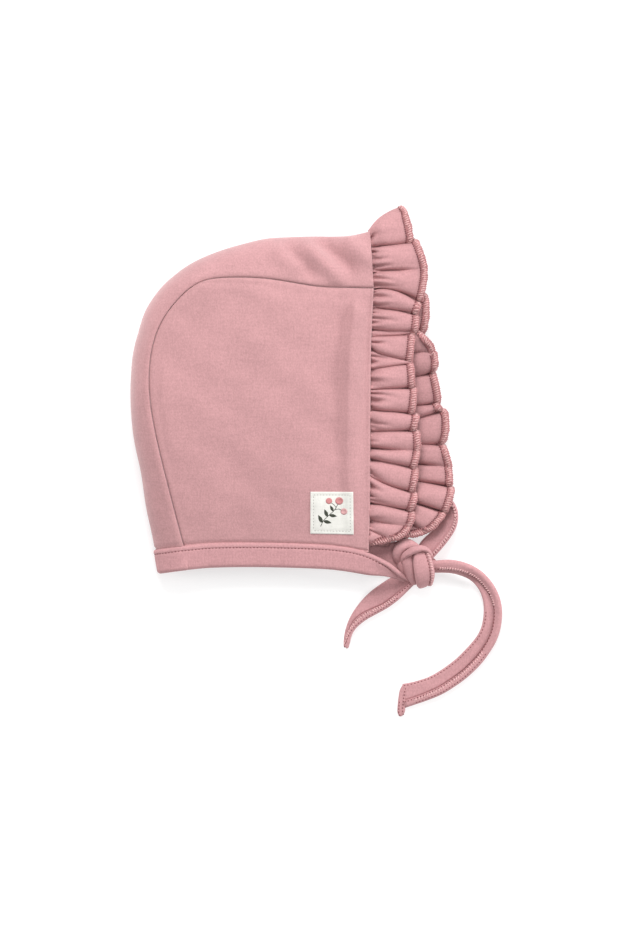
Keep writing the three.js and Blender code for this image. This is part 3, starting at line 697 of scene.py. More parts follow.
# The ruffle. Creases run from the seam by a middle place to the edge, where the fold above and the
# fold below each have a corner of their own. Then come how deep the crease is, which fold lies over the
# other (above with 1, below with -1) and how high the fold after the crease stands.
UPPER_CREASES = [
    ((370, 231.5), (380.8, 217.4), (401.5, 207.0), (401.5, 207.0), 1.0, 0, 1.0),
    ((373, 247.0), (393, 245.4), (410.2, 243.6), (417.6, 241.8), 1.0, -1, 1.0),
    ((374, 271.0), (395, 270.5), (427.0, 270.5), (427.0, 270.5), 0.7, 0, 1.0),
    ((374, 290.7), (396, 291.5), (421.0, 303.0), (420.4, 306.0), 0.9, -0.5, 0.95),
    ((373, 306.5), (393, 309.5), (418.0, 313.8), (418.4, 316.2), 1.0, 1, 0.9),
    ((372, 330.2), (392, 331.0), (417.0, 330.8), (416.6, 331.2), 0.9, 0.8, -0.25),
    ((371, 337.5), (391, 336.6), (416.2, 332.0), (414.6, 334.4), 1.0, -0.6, 1.0),
    ((370.5, 349.4), (388, 356.0), (411.5, 361.8), (411.6, 362.4), 1.0, 1.0, -0.4),
    ((370, 370.0), (388, 366.8), (411.6, 362.6), (412.6, 364.0), 1.0, -0.8, 0.95),
    ((369, 390.2), (390, 389.0), (413.8, 387.0), (415.8, 388.6), 1.0, 0.7, 0.95),
    ((369, 410.3), (390, 411.6), (413.0, 413.4), (417.8, 416.0), 1.0, 0.8, 0.95),
    ((369, 431.3), (390, 431.0), (414.6, 428.8), (418.6, 432.0), 1.0, 0.8, 0.95),
    ((369, 448.0), (384, 449.5), (419.6, 451.0), (419.6, 451.0), 0.6, 0, 1.0),
    ((369, 460.6), (388, 462.4), (415.0, 467.8), (417.4, 469.8), 1.0, 1, 0.95),
    ((369, 473.0), (386, 484.6), (413.6, 491.4), (416.6, 494.6), 1.0, 1, 0.95),
    ((369, 502.0), (387, 506.0), (411.6, 510.2), (414.2, 512.8), 1.0, 0.8, 0.95),
    ((369, 518.3), (380, 522.4), (410.4, 527.0), (410.4, 527.0), 0.38, 0, 0.9),
    ((369, 528.8), (377, 533.0), (394.0, 540.3), (394.0, 540.3), 0.36, 0, 0.7),
    ((368.6, 541.0), (369.6, 543.0), (371.0, 544.8), (371.0, 544.8), 1.0, 0, 0.0),
]
# How far each fold's edge bulges outwards between its two creases, in pixels
UPPER_BULGE = [4.8, 1.6, 1.6, 0, 0.8, 0, 0.6, 0, 1.0, 1.6, 1.6, 1.0, 1.0, 1.4, 1.6, 1.6, 3.0, 0.8]
LOWER_CREASES = [
    ((371, 231.5), (381.2, 218), (401.5, 207), (401.5, 207), 1.0, 0, 0.7),
    ((374, 252), (395, 248), (411.0, 243), (411.0, 243.5), 0.7, 0, 0.8),
    ((377, 272), (400, 270), (420.0, 270), (420.0, 270), 0.6, 0, 0.8),
    ((379.5, 290), (403, 291), (421.5, 293), (425.4, 296.0), 1.0, -1, 0.9),
    ((385, 322), (405, 329), (423.0, 332.8), (418.6, 333.4), 1.0, 1, 1.0),
    ((392, 356), (411, 353), (434.6, 351.0), (434.6, 351.0), 0.5, 0, 1.0),
    ((394, 378), (415, 376), (435.2, 369.0), (434.4, 373.6), 1.0, 0.9, 0.95),
    ((401, 405), (417, 405.5), (439.6, 402.8), (438.4, 404.6), 0.85, 0.4, 0.6),
    ((402, 420), (418, 418), (441.6, 408.6), (443.8, 409.4), 1.0, -0.7, 1.0),
    ((404, 444.5), (421, 444.6), (442.4, 443.2), (445.0, 446.6), 1.0, 1, 1.0),
    ((404, 463), (422, 464.6), (451.2, 467.6), (451.2, 467.6), 0.7, 0, 0.95),
    ((403, 480), (421, 481.8), (451.4, 485.4), (453.0, 488.6), 1.0, 0.8, 1.0),
    ((400, 499), (418, 504), (445.4, 512.6), (445.4, 512.6), 0.9, 0, 0.9),
    ((397.5, 517), (409, 523), (428.0, 532.0), (428.0, 532.0), 0.8, 0, 0.7),
    ((394, 529), (400, 533.5), (407.0, 537.2), (407.0, 537.2), 0.5, 0, 0.4),
    ((391.8, 535.6), (393, 536.8), (394.5, 538.0), (394.5, 538.0), 1.0, 0, 0.0),
]
LOWER_BULGE = [2.0, 1.5, 2.0, 4.6, 3.4, 3.0, 2.2, 0.8, 5.6, 1.6, 1.0, 2.4, 2.6, 1.4, 0.4]
# Columns of the crease tables after the seam and the middle place
CORNER_ABOVE, CORNER_BELOW, DEPTH, OVER, STAND = 2, 3, 4, 5, 6
# Distance between the ruffle's columns in mm, and the row where a fold's width is measured
COLUMN_STEP = 0.38
WIDTH_ROW = 27
# Depth and width of a full crease, and width and height of one fold's lap over the next, in mm
CREASE_DEPTH, CREASE_WIDTH = 4.2, 1.45
LAP_WIDTH, LAP_HEIGHT = 1.5, 1.25
# From which depth on, as a share, a crease reaches the ruffle's edge
DEEP_CREASE = 0.8
# Distance between the small gathers at the seam in mm
GATHER_PITCH = 1.15


def crease_line(crease, corner, v):
    """One side of a crease in mm, from the seam through its middle place to the corner at the edge."""
    seam, middle, out = plan(crease[0]) - (1.0, 0), plan(crease[1]), plan(crease[corner])
    v = v[:, None]
    return (1 - v) * (1 - 2 * v) * seam + 4 * v * (1 - v) * middle + v * (2 * v - 1) * out


def ruffle_grid(creases, bulges, base, high, low, seed):
    """The middle of the ruffle's cloth, in columns along the edge and rows outwards."""
    v = np.concatenate([np.linspace(0, 0.16, 11)[:-1], np.linspace(0.16, 1, 36)])
    rng = np.random.default_rng(seed)
    columns, shares, notches = [], [], []
    for k, (first, second) in enumerate(zip(creases[:-1], creases[1:])):
        start, end = crease_line(first, CORNER_BELOW, v), crease_line(second, CORNER_ABOVE, v)
        wide = max(np.linalg.norm((end - start)[WIDTH_ROW]), np.linalg.norm((end - start)[0]))
        count = int(np.clip(wide / COLUMN_STEP, 9, 60))
        f = np.linspace(0, 1, count + 1)
        # A shallow crease fades before it reaches the edge
        fade = 1 - 0.8 * smooth((v - 0.3) / 0.6)
        one = first[DEPTH] * (np.ones_like(v) if first[DEPTH] > DEEP_CREASE else fade)
        two = second[DEPTH] * (np.ones_like(v) if second[DEPTH] > DEEP_CREASE else fade)
        depth = one[None] * (1 - f[:, None]) + two[None] * f[:, None]
        moved = f[:, None] - 0.62 * depth * np.sin(FULL_TURN * f)[:, None] / FULL_TURN
        xy = start[None] + (end - start)[None] * moved[..., None]
        chord = unit(end[-1] - start[-1])
        outwards = np.array([-chord[1], chord[0]])
        if outwards @ (start[-1] - start[0]) < 0:
            outwards = -outwards
        swell = (4 * f * (1 - f)) ** 0.75
        xy = xy + outwards * (swell[:, None] * smooth((v - 0.25) / 0.75) * bulges[k] * PIXEL)[..., None]
        profile = np.sin(math.pi * f) ** 0.7
        shape = (1 - depth) + depth * profile[:, None]
        # A narrow fold stands lower than a wide one
        stand = (first[STAND] + (second[STAND] - first[STAND]) * 0.2) * min(1.0, 0.35 + wide / 11)
        open_high = (0.25 + 0.75 * smooth(v / 0.4)) * high * stand
        open_low = (0.3 + 0.7 * smooth(v / 0.3)) * low
        z = -open_low[None] + (open_low + open_high)[None] * shape
        z = z + swell[:, None] * rng.uniform(-0.5, 0.5) * smooth(v * 2)[None]
        z = z + (f - 0.5)[:, None] * rng.uniform(-0.8, 0.8) * smooth(v * 2)[None]
        over = -first[OVER] * bell(f * wide, LAP_WIDTH) + second[OVER] * bell((1 - f) * wide, LAP_WIDTH)
        z = z + over[:, None] * LAP_HEIGHT * smooth(v * 4)[None]
        # The cloth is pinched at each crease, but not at the ruffle's own ends
        last = k == len(creases) - 2
        notch = (k > 0) * one[None] * bell(f * wide, CREASE_WIDTH)[:, None]
        notch = notch + (not last) * two[None] * bell((1 - f) * wide, CREASE_WIDTH)[:, None]
        # It is deepest between the seam and the edge
        deep = (0.4 + 0.6 * smooth(v / 0.2)) * (1 - 0.45 * smooth((v - 0.8) / 0.2))
        z = z - CREASE_DEPTH * notch * deep[None]
        # The fold that lies over the other reaches across the crease, and the other goes under it
        side = np.where(f < 0.5, -1.0, 1.0)
        reach = (0.95 * np.abs(over) * side)[:, None] * smooth(v * 4)[None]
        xy = xy + unit(end - start)[None] * reach[..., None]
        # Broad soft waves that run outwards
        wave = ripples(xy[..., 0] * 0.25, xy[..., 1], (5, 12), seed=seed * 50 + k, waves=4)
        z = z + 0.28 * wave * swell[:, None] * (0.4 + 0.6 * (1 - v))[None]
        columns.append(np.concatenate([xy, z[..., None]], -1))
        shares.append(k + f)
        notches.append(np.broadcast_to(notch, z.shape))
    points = np.concatenate(columns)
    points[..., 2] += base(points, v, np.concatenate(shares))
    return small_gathers(points, np.concatenate(notches), rng)


def small_gathers(points, pinched, rng):
    """The ruffle with small gathers along its seam, and how far its cloth is pinched."""
    at = along_line(points[:, 0, :])
    spots = np.arange(0.5, at[-1], GATHER_PITCH)
    spots = spots + rng.uniform(-0.35, 0.35, len(spots))
    out_mm = along_line(np.nanmean(points, axis=0))
    for spot in spots[rng.uniform(size=len(spots)) < 0.62]:
        deep = rng.uniform(1.0, 2.9)
        narrow = rng.uniform(0.45, 1.0)
        long = rng.choice([rng.uniform(1.6, 4.0), rng.uniform(4.0, 11.0)])
        tilt = rng.uniform(-0.16, 0.16)
        away = at[:, None] - spot - tilt * out_mm[None]
        wider = narrow * (1 + out_mm[None] / 7)
        dip = deep * bell(away, wider) * bell(out_mm[None], long)
        points[..., 2] -= dip
        pinched = pinched + dip / 2
    return points, np.clip(pinched, 0, 1)


HEAD_SEAM_Y = PATTERN[1] + HEAD_SEAM_SHARE * CROWN_HEIGHT
HEAD_TOP_Y = PATTERN[1] + CROWN_HEIGHT
# Where the lower side's face edge begins to rise to the fold over the head
LOWER_FOLD_Y = 57.0
# How high the lower side's edge lies over the surface, and how much higher where the tie runs under it
LOWER_EDGE_HEIGHT = 2.6
OVER_TIE_HEIGHT = 5.4


def face_edge_height(y):
    """Height of the middle of the upper panel's wall at its face edge."""
    rows = np.asarray(UPPER_FACE)
    at = PATTERN[1] + rows[:, 1] * CROWN_HEIGHT
    return np.interp(y, at, rows[:, 2] * LOFT - PANEL_WALL / 2)


def head_fold_height(y):
    """Height of the strip's front edge between its upper seam and its outline."""
    share = np.clip((y - HEAD_SEAM_Y) / (HEAD_TOP_Y - HEAD_SEAM_Y), 0, 1)
    half = HEAD_LOFT_SHARE * LOFT / 2
    return half + (half - PANEL_WALL / 2) * np.sqrt(1 - share**2)


def upper_base(points, v, share):
    """Height of the upper side's middle line for each column and row."""
    y = points[:, :1, 1]
    seam = np.where(y > HEAD_SEAM_Y, head_fold_height(y), face_edge_height(y))
    start = -0.5 * (1 - smooth(v / 0.12)) - 0.1
    droop = -3.0 * smooth((v - 0.2) / 0.8)
    tip = -smooth(1 - share)[:, None] * v[None]
    return seam + (start + droop)[None] + tip


def lower_base(points, v, share):
    """Height of the lower side's middle line for each column and row."""
    y = points[:, :1, 1]
    half = HEAD_LOFT_SHARE * LOFT / 2
    turn = np.clip((y - LOWER_FOLD_Y) / (HEAD_TOP_Y - LOWER_FOLD_Y), 0, 1)
    fold = half - (half - PANEL_WALL / 2) * np.sqrt(1 - turn**2)
    seam = np.where(y > LOWER_FOLD_Y, fold, PANEL_WALL / 2) + CORNER_LIFT * smooth((-y - 54) / 24)
    # The edge settles to the surface, but over the tie near the lower end
    low = smooth(v / 0.6)[None]
    settle = seam * (1 - low) + (LOWER_EDGE_HEIGHT + 5.0 * smooth((y + 6) / 40)) * low
    under = smooth((-points[..., 1] - 44) / 14) * smooth((v - 0.1) / 0.4)[None]
    tip = smooth(1 - share)[:, None]
    settle = settle * (1 - tip * 0.9) + (seam - 1.5 * v[None]) * tip * 0.9
    return settle + OVER_TIE_HEIGHT * under


upper_ruffle, upper_pinched = ruffle_grid(UPPER_CREASES, UPPER_BULGE, upper_base, high=2.9, low=2.6, seed=5)
lower_ruffle, lower_pinched = ruffle_grid(LOWER_CREASES, LOWER_BULGE, lower_base, high=4.3, low=1.4, seed=6)
# The lower side settles on the surface without being pressed flat
REST_HEIGHT, REST_SOFTNESS = 1.2, 0.8
over_rest = (lower_ruffle[..., 2] - REST_HEIGHT) / REST_SOFTNESS
lower_ruffle[..., 2] = REST_HEIGHT + REST_SOFTNESS * np.log1p(np.exp(over_rest))


def cloth_normals(points, passes=2):
    """Normals that point up on both the upper and the lower side of the ruffle."""
    normals = grid_normals(points)
    normals = np.where(normals[..., 2:] < -0.02, -normals, normals)
    return turned_alike(normals, passes)


def ruffle_part(points, pinched):
    """The ruffle's cloth, pressed thinner where it is pinched together."""
    normals = cloth_normals(points)
    half_wall = (RUFFLE_WALL / 2 * (1 - 0.75 * pinched))[..., None]
    top, bottom = points + normals * half_wall, points - normals * half_wall
    keep_above(bottom, RUFFLE_GAP)
    return wall(top, bottom)


ruffle = new_piece(
    "ruffle",
    [ruffle_part(upper_ruffle, upper_pinched), ruffle_part(lower_ruffle, lower_pinched)],
    ruffle_cloth,
    ["face_ruffle"],
)

# The overlocked edge: threads wrapped round the ruffle's raw edge, and the needle's row beside them
EDGE_PITCH = 1.25
EDGE_HALF_WIDTH = 2.1
EDGE_HALF_HEIGHT = 0.95
# How far the wraps stand out past the cloth
EDGE_OVERHANG = 0.35
# A stitch's rings: place along it and width, as shares of its length and radius
STITCH_SIDES = 6
STITCH_RINGS = [(-0.5, 0.35), (-0.4, 0.8), (-0.15, 1.0), (0.15, 1.0), (0.4, 0.8), (0.5, 0.35)]


def capsules(places, directions, normals, length, radius, sag=0.0):
    """Short rounded stitches, as closed meshes in one list."""
    parts = []
    angles = circle(STITCH_SIDES)
    for place_at, along, normal in zip(places, directions, normals):
        along = along / np.linalg.norm(along)
        side = np.cross(along, normal)
        side /= max(np.linalg.norm(side), 1e-9)
        normal = np.cross(side, along)
        rings = []
        for at, wide in STITCH_RINGS:
            middle = place_at + along * at * length - normal * (radius * 0.7 + sag) * (abs(at) * 2) ** 2.6
            round_it = np.cos(angles)[:, None] * side + np.sin(angles)[:, None] * normal
            ring = middle + radius * wide * round_it
            keep_above(ring, TIE_GAP)
            rings.append(ring)
        parts.append(sweep(np.array(rings)))
    return parts


def overlocked(points, rng):
    """The wrapped edge as a ribbed sweep, its threads and its row of needle stitches."""
    edge = softened(points[:, -1], 2)
    inward = unit(points[:, -7] - points[:, -1])
    normal = cloth_normals(points, 4)[:, -3]
    at, edge, inward, normal = resample(edge, EDGE_PITCH / 6, softened(inward, 6), softened(normal, 6))
    along = unit(np.gradient(edge, axis=0))
    inward = unit(inward - along * np.sum(inward * along, 1, keepdims=True))
    normal = unit(normal - along * np.sum(normal * along, 1, keepdims=True))
    normal = unit(normal - inward * np.sum(normal * inward, 1, keepdims=True))
    # Narrow where the ruffle turns over the head
    slim = (0.6 + 0.4 * smooth(at / 14))[:, None]
    centre_line = edge + inward * (EDGE_HALF_WIDTH * slim - EDGE_OVERHANG)
    angles = circle(14)
    phase = FULL_TURN * at[:, None] / EDGE_PITCH + 1.3 * np.cos(angles)[None]
    rib = 1 + 0.22 * np.cos(phase) * (0.5 + 0.5 * np.abs(np.sin(angles))[None])
    uneven = 1 + 0.12 * ripples(at, 0, (2.5, 7), seed=61)[:, None]
    wide = EDGE_HALF_WIDTH * slim * uneven * np.cos(angles)[None] * (1 + 0.08 * np.cos(phase))
    tall = EDGE_HALF_HEIGHT * np.sign(np.sin(angles)) * np.abs(np.sin(angles)) ** 0.8 * rib
    rings = centre_line[:, None] - inward[:, None] * wide[..., None] + normal[:, None] * tall[..., None]
    keep_above(rings, RUFFLE_GAP)
    spots = np.arange(EDGE_PITCH / 2, at[-1], EDGE_PITCH)
    take = nearest(at, spots)
    jitter = rng.uniform(-0.35, 0.35, (len(take), 1))
    slant = unit(inward[take] + along[take] * (0.45 + jitter))
    middle = centre_line[take] - inward[take] * (0.15 + jitter * 0.8)
    middle = middle + normal[take] * (EDGE_HALF_HEIGHT + 0.02)
    threads = capsules(middle, slant, normal[take], length=3.0, radius=0.36, sag=0.5)
    needle = centre_line[take] + inward[take] * (EDGE_HALF_WIDTH * slim[take] - 0.1) + normal[take] * 0.8
    return sweep(rings), threads, capsules(needle, along[take], normal[take], length=0.78, radius=0.42)


edges, wraps, needle = [], [], []
edge_rng = np.random.default_rng(seed=9)
for grid in (upper_ruffle, lower_ruffle):
    solid, threads, stitches = overlocked(grid, edge_rng)
    edges.append(solid)
    wraps += threads
    needle += stitches
ruffle_edge = new_piece("ruffle_overlock", edges, overlock_gap_shade, ["face_ruffle"])
ruffle_wraps = new_piece("ruffle_wraps", wraps, edge_thread)
ruffle_needle = new_piece("ruffle_stitches", needle, thread_and_hole_shade)


# Tape: the binding and the ties are one folded strip, with a thicker hem along its stitched edge. Each
# ring goes from the plain edge over the hem's inner border to the hem's outer edge.
FACE_STEPS, HEM_STEPS = 15, 13
# Distance between a tape's rings in mm
TAPE_STEP = 0.65


def tape(three, half_wall, rim, groove, ends, puff=0.0, sag=0.0, steep=1.0, look=slice(None)):
    """Rings of points for a tape by its hem edge, hem border and plain edge, and lines on its face."""
    outer, border, plain = np.split(three, 3, axis=1)
    count = len(three)
    face = np.sin(np.linspace(0, math.pi / 2, FACE_STEPS)) ** 1.1
    hem = np.sin(np.linspace(0, math.pi / 2, HEM_STEPS + 1))[1:] ** 1.1
    middle = np.concatenate([
        plain[:, None] + (border - plain)[:, None] * face[None, :, None],
        border[:, None] + (outer - border)[:, None] * hem[None, :, None],
    ], axis=1)
    # The face lies low and comes up to the hem in a steep step
    sag, steep = (np.broadcast_to(x, count)[:, None] for x in (sag, steep))
    step = (border - plain)[:, 2:] * (face[None] ** steep - face[None])
    middle[:, :FACE_STEPS, 2] += step - sag * face[None] ** 1.3 * (1 - face[None] ** 8)
    keep_above(middle, half_wall + 0.05)
    middle = softened(middle.swapaxes(0, 1), 2).swapaxes(0, 1)
    across = unit(np.gradient(middle, axis=1))
    centre = middle[:, FACE_STEPS // 2]
    ahead = unit(np.gradient(centre, axis=0))[:, None]
    normal = unit(np.cross(ahead, across))
    if normal[look, :, 2].mean() < 0:
        normal = -normal
    steps = np.linalg.norm(np.diff(middle, axis=1), axis=2)
    s = np.concatenate([np.zeros((count, 1)), np.cumsum(steps, axis=1)], axis=1)
    width = s[:, -1:]
    split = s[:, FACE_STEPS - 1 : FACE_STEPS]
    off = np.abs(2 * s / width - 1)
    body = half_wall * (1 - np.clip(off, 0, 1) ** 9) ** 0.5
    share = np.clip((s - split) / (width - split), 0, 1)
    rim, groove = (np.broadcast_to(x, count)[:, None] for x in (rim, groove))
    raised = rim * (1 - np.abs(2 * share - 1) ** 4) * (share > 0)
    swell = puff * (1 - off**2)
    dent = groove * bell(s - split, 0.5)
    at = along_line(centre)
    shrink = np.ones(count)
    for near, end in ((at, ends[0]), (at[-1] - at, ends[1])):
        if end:
            shrink *= np.sqrt(np.maximum(0.0, 1 - np.maximum(0.0, 1 - near / end) ** 2))
    shrink = (0.15 + 0.85 * shrink)[:, None]
    top = middle + normal * ((body + raised - dent) * shrink + swell)[..., None]
    under = middle + normal * (-body * shrink + swell * 0.6)[..., None]
    rings = np.concatenate([top, under[:, -2:0:-1]], axis=1)

    def line_at(from_outer, lift=0.0):
        """A line on the face, so many mm in from its outer edge, or from its plain edge when negative."""
        wanted = np.where(from_outer >= 0, width[:, 0] - from_outer, -from_outer)
        points, up = np.empty((count, 3)), np.empty((count, 3))
        for k in range(count):
            for c in range(3):
                points[k, c] = np.interp(wanted[k], s[k], top[k, :, c])
                up[k, c] = np.interp(wanted[k], s[k], normal[k, :, c])
        return points + up * lift, unit(up)

    return rings, line_at


def cross_threads(points, up, towards, pitch, length, radius=0.42):
    """Slanting threads across a hem, along a line of points on it."""
    at = along_line(points)
    spots = np.arange(pitch / 2, at[-1], pitch)
    take = nearest(at, spots)
    ahead = unit(np.gradient(points, axis=0))[take]
    return capsules(points[take], unit(towards - points)[take] + ahead * 0.3, up[take], length, radius, 0.2)


# Length, gap and radius in mm of the stitches in each kind of row
STITCHES = {
    "binding": (1.05, 0.85, 0.3),
    "tie": (0.95, 0.85, 0.36),
    "tie inner": (1.15, 0.8, 0.3),
    "tie outer": (0.85, 0.95, 0.33),
    "knot": (1.0, 0.85, 0.38),
    "label": (0.95, 0.75, 0.15),
}


def stitch_row(line, normals, kind):
    """A row of stitches along a line of points with their normals."""
    long, gap, radius = STITCHES[kind]
    at = along_line(line)
    spots = np.arange(long / 2 + 0.4, at[-1] - long / 2, long + gap)
    ahead = columns_at(spots, at, np.gradient(line, axis=0))
    return capsules(columns_at(spots, at, line), ahead, columns_at(spots, at, normals), long, radius)


def neck_binding():
    """Stations along the U of the binding, from the upper front corner round the nape to the lower one."""
    s = np.linspace(0, 1, 150)
    upper = UPPER_EDGES["hem"](1 - s)
    upper_out = np.tile([0.0, 0.0, 1.0], (len(s), 1))
    upper_down = np.tile(unit(np.array([0.0, -1.0, -0.1])), (len(s), 1))
    turn = np.linspace(0, 1, 60)[1:-1]
    edge = strip_point(np.full_like(turn, LAST_ROW), turn, 0.0)
    before = strip_point(np.full_like(turn, LAST_ROW - 0.5), turn, 0.0)
    inside = strip_point(np.full_like(turn, LAST_ROW), turn, PANEL_WALL)
    down = unit((edge - before) * np.array([1, 1, 0]))
    lower = LOWER_EDGES["hem"](s)
    lower_out = np.tile([0.0, 0.0, -1.0], (len(s), 1))
    lower_down = np.tile([0.0, -1.0, 0.0], (len(s), 1))
    at = np.concatenate([upper, edge, lower])
    out = unit(np.concatenate([upper_out, edge - inside, lower_out]))
    down = np.concatenate([upper_down, down, lower_down])
    return at, out, down


# The binding runs on past the upper front corner as the lead of the tie, and twists on its way to the
# knot. Each row has the hem's outer edge, the hem's inner border and the plain edge: x and y in pixels
# and height in mm.
LEAD = [
    (412.0, 580.6, 4.4, 411.2, 581.2, 4.0, 410.4, 581.4, 2.4),
    (407.6, 577.6, 6.6, 405.4, 579.0, 6.2, 405.6, 580.4, 3.4),
    (401.4, 572.6, 9.8, 398.0, 575.0, 9.4, 399.6, 578.9, 5.2),
    (395.6, 567.6, 12.6, 391.8, 570.4, 12.2, 394.6, 577.6, 7.6),
    (389.6, 563.0, 14.8, 386.2, 566.2, 14.4, 388.0, 576.6, 10.2),
    (383.0, 559.4, 15.8, 380.4, 563.0, 15.4, 381.0, 575.8, 12.2),
    (376.0, 555.8, 15.4, 374.8, 559.9, 15.0, 374.0, 575.4, 13.4),
    (368.6, 552.6, 14.6, 368.2, 557.3, 14.4, 367.2, 575.1, 14.0),
]
LOWER_LEAD = [
    (389.0, 543.5, 5.1, 389.0, 549.0, 5.0, 389.6, 574.0, 4.6),
    (394.0, 541.5, 5.2, 394.0, 547.0, 4.8, 395.0, 574.0, 4.2),
    (399.0, 542.0, 5.0, 400.0, 547.0, 4.6, 402.0, 573.0, 3.6),
    (404.6, 545.6, 4.6, 405.6, 550.6, 4.2, 408.6, 570.0, 3.2),
]


def spatial(rows, count):
    """Smooth lines through a table's places, each with x and y in pixels and height in mm."""
    rows = np.array(rows)
    for first in range(0, rows.shape[1], 3):
        rows[:, first : first + 2] = plan(rows[:, first : first + 2])
    return spline(rows, np.linspace(0, len(rows) - 1, count))


# The points where the lead's lines are eased into the binding's
JOINT = slice(60, 100)


def binding_lines():
    """The binding's three lines, from the knot's lead round the nape to the lower tie."""
    edge, out, down = neck_binding()
    at, edge, out, down = resample(edge, 0.8, turned_alike(out, 10), turned_alike(down, 10))
    out, down = unit(out), unit(down)
    line = edge + down * (BINDING_HEIGHT / 2 - 0.7) - out * (PANEL_WALL / 2 - 0.15)
    pucker = 0.10 * np.sin(FULL_TURN * at / 1.9) + 0.16 * ripples(at, 0, (9, 30), seed=41)
    line = line + out * (pucker * smooth(at / 12))[:, None]
    keep_above(line, BINDING_WALL / 2)
    line[:, 2] += CORNER_LIFT * smooth((at - at[-1] + 32) / 30)
    half_height = BINDING_HEIGHT / 2 + 0.1
    heights = (-half_height, HEM_WIDTH - half_height, half_height)
    three = np.concatenate([line + down * height for height in heights], axis=1)
    three = np.concatenate([spatial(LEAD, 80), three[5:-2], spatial(LOWER_LEAD, 24)[2:]])
    three[JOINT] = softened(three[JOINT], 30)
    at, _, three = resample(three[:, 3:6], TAPE_STEP, three)
    return at, three


bind_at, bind_three = binding_lines()
on_lead = 1 - smooth((bind_at - 18) / 10)
bind_rings, bind_line_at = tape(
    bind_three,
    BINDING_WALL / 2,
    rim=0.2 + 0.4 * on_lead,
    groove=0.22 + 0.6 * on_lead,
    ends=(0.8, 1.2),
    look=slice(60, 120),
)
keep_above(bind_rings, CLOTH_GAP)
binding = new_piece(
    "binding", [sweep(bind_rings)], binding_cloth, ["neck_binding", "tie_lead"]
)
# The stitches begin where the lead comes out of the knot, and end before the lower tie's turn
stitched = slice(int(np.searchsorted(bind_at, 15.0)), -40)
bind_points, bind_up = bind_line_at(2.55)
binding_stitches = new_piece(
    "binding_stitches",
    stitch_row(bind_points[stitched], bind_up[stitched], "binding"),
    thread_and_hole_shade,
)

# The ties, by the same three lines
LONG_TAIL = [
    (419.0, 563.4, 8.6, 419.0, 567.4, 7.6, 419.5, 568.6, 2.4),
    (427.0, 561.6, 9.0, 427.0, 568.4, 7.6, 427.5, 571.0, 2.2),
    (434.4, 560.6, 9.4, 434.8, 569.4, 7.6, 435.6, 571.4, 1.8),
    (443.6, 559.7, 9.8, 444.2, 570.0, 7.8, 444.6, 571.2, 1.6),
    (452.8, 559.8, 10.0, 452.4, 570.6, 8.0, 451.8, 571.8, 1.5),
    (463.2, 562.0, 9.4, 460.4, 571.6, 7.0, 458.6, 573.8, 2.4),
    (473.6, 566.4, 8.2, 468.6, 573.6, 5.4, 466.2, 577.4, 3.2),
    (484.4, 574.2, 7.0, 477.6, 578.8, 4.0, 473.4, 582.8, 3.7),
    (493.6, 585.4, 6.0, 486.4, 588.2, 3.0, 479.2, 590.4, 4.0),
    (499.4, 597.6, 5.2, 492.0, 598.6, 2.4, 482.6, 599.8, 4.0),
    (501.8, 611.0, 4.8, 494.4, 611.0, 2.2, 483.6, 611.0, 3.9),
    (500.6, 626.5, 4.5, 493.2, 625.0, 2.1, 482.0, 623.8, 3.6),
    (496.6, 639.6, 4.2, 489.4, 636.8, 2.0, 478.6, 632.8, 3.2),
    (490.8, 650.2, 3.9, 484.0, 646.4, 1.9, 473.6, 640.2, 2.8),
    (481.5, 663.1, 3.6, 475.4, 657.8, 1.8, 465.8, 649.0, 2.7),
    (468.6, 676.0, 3.4, 463.4, 669.8, 1.8, 455.4, 659.2, 2.1),
    (455.4, 686.0, 3.1, 451.0, 679.0, 1.8, 442.3, 669.0, 1.7),
    (442.3, 694.0, 3.0, 439.0, 686.6, 2.0, 429.2, 676.6, 1.5),
    (429.2, 699.6, 2.6, 427.4, 692.0, 1.8, 416.1, 681.0, 1.5),
    (416.6, 704.0, 2.2, 415.6, 696.6, 1.7, 408.4, 682.8, 1.5),
    (404.6, 708.0, 2.0, 403.6, 700.6, 1.6, 402.4, 683.8, 1.5),
]
SHORT_TAIL = [
    (436.0, 560.0, 7.6, 433.6, 558.0, 7.0, 428.0, 556.0, 5.6),
    (430.0, 567.5, 7.4, 427.6, 565.4, 6.8, 422.6, 562.0, 5.4),
    (424.0, 574.8, 7.0, 421.0, 572.4, 6.2, 413.0, 568.0, 4.4),
    (416.6, 581.8, 5.8, 413.8, 580.2, 5.0, 403.0, 572.0, 2.8),
    (407.2, 591.4, 4.4, 403.6, 588.4, 3.6, 391.5, 577.2, 2.0),
    (398.6, 599.6, 3.8, 393.6, 596.6, 2.9, 381.8, 583.2, 1.6),
    (387.9, 607.6, 3.3, 383.2, 604.0, 2.4, 371.6, 590.6, 1.5),
    (377.2, 613.6, 3.0, 372.2, 608.8, 2.1, 363.2, 598.6, 1.5),
    (366.8, 619.4, 2.9, 362.2, 613.6, 2.0, 355.6, 608.0, 1.5),
    (358.4, 625.8, 3.0, 355.4, 619.4, 2.1, 349.9, 617.4, 1.5),
    (353.2, 631.8, 3.4, 351.2, 626.0, 2.4, 346.6, 625.6, 1.5),
    (350.4, 638.0, 3.9, 348.6, 633.4, 2.8, 344.6, 634.0, 1.6),
    (348.8, 643.6, 4.2, 347.4, 640.6, 3.2, 344.0, 641.4, 1.7),
    (347.0, 648.6, 4.0, 346.4, 646.8, 3.4, 344.6, 647.4, 1.8),
]
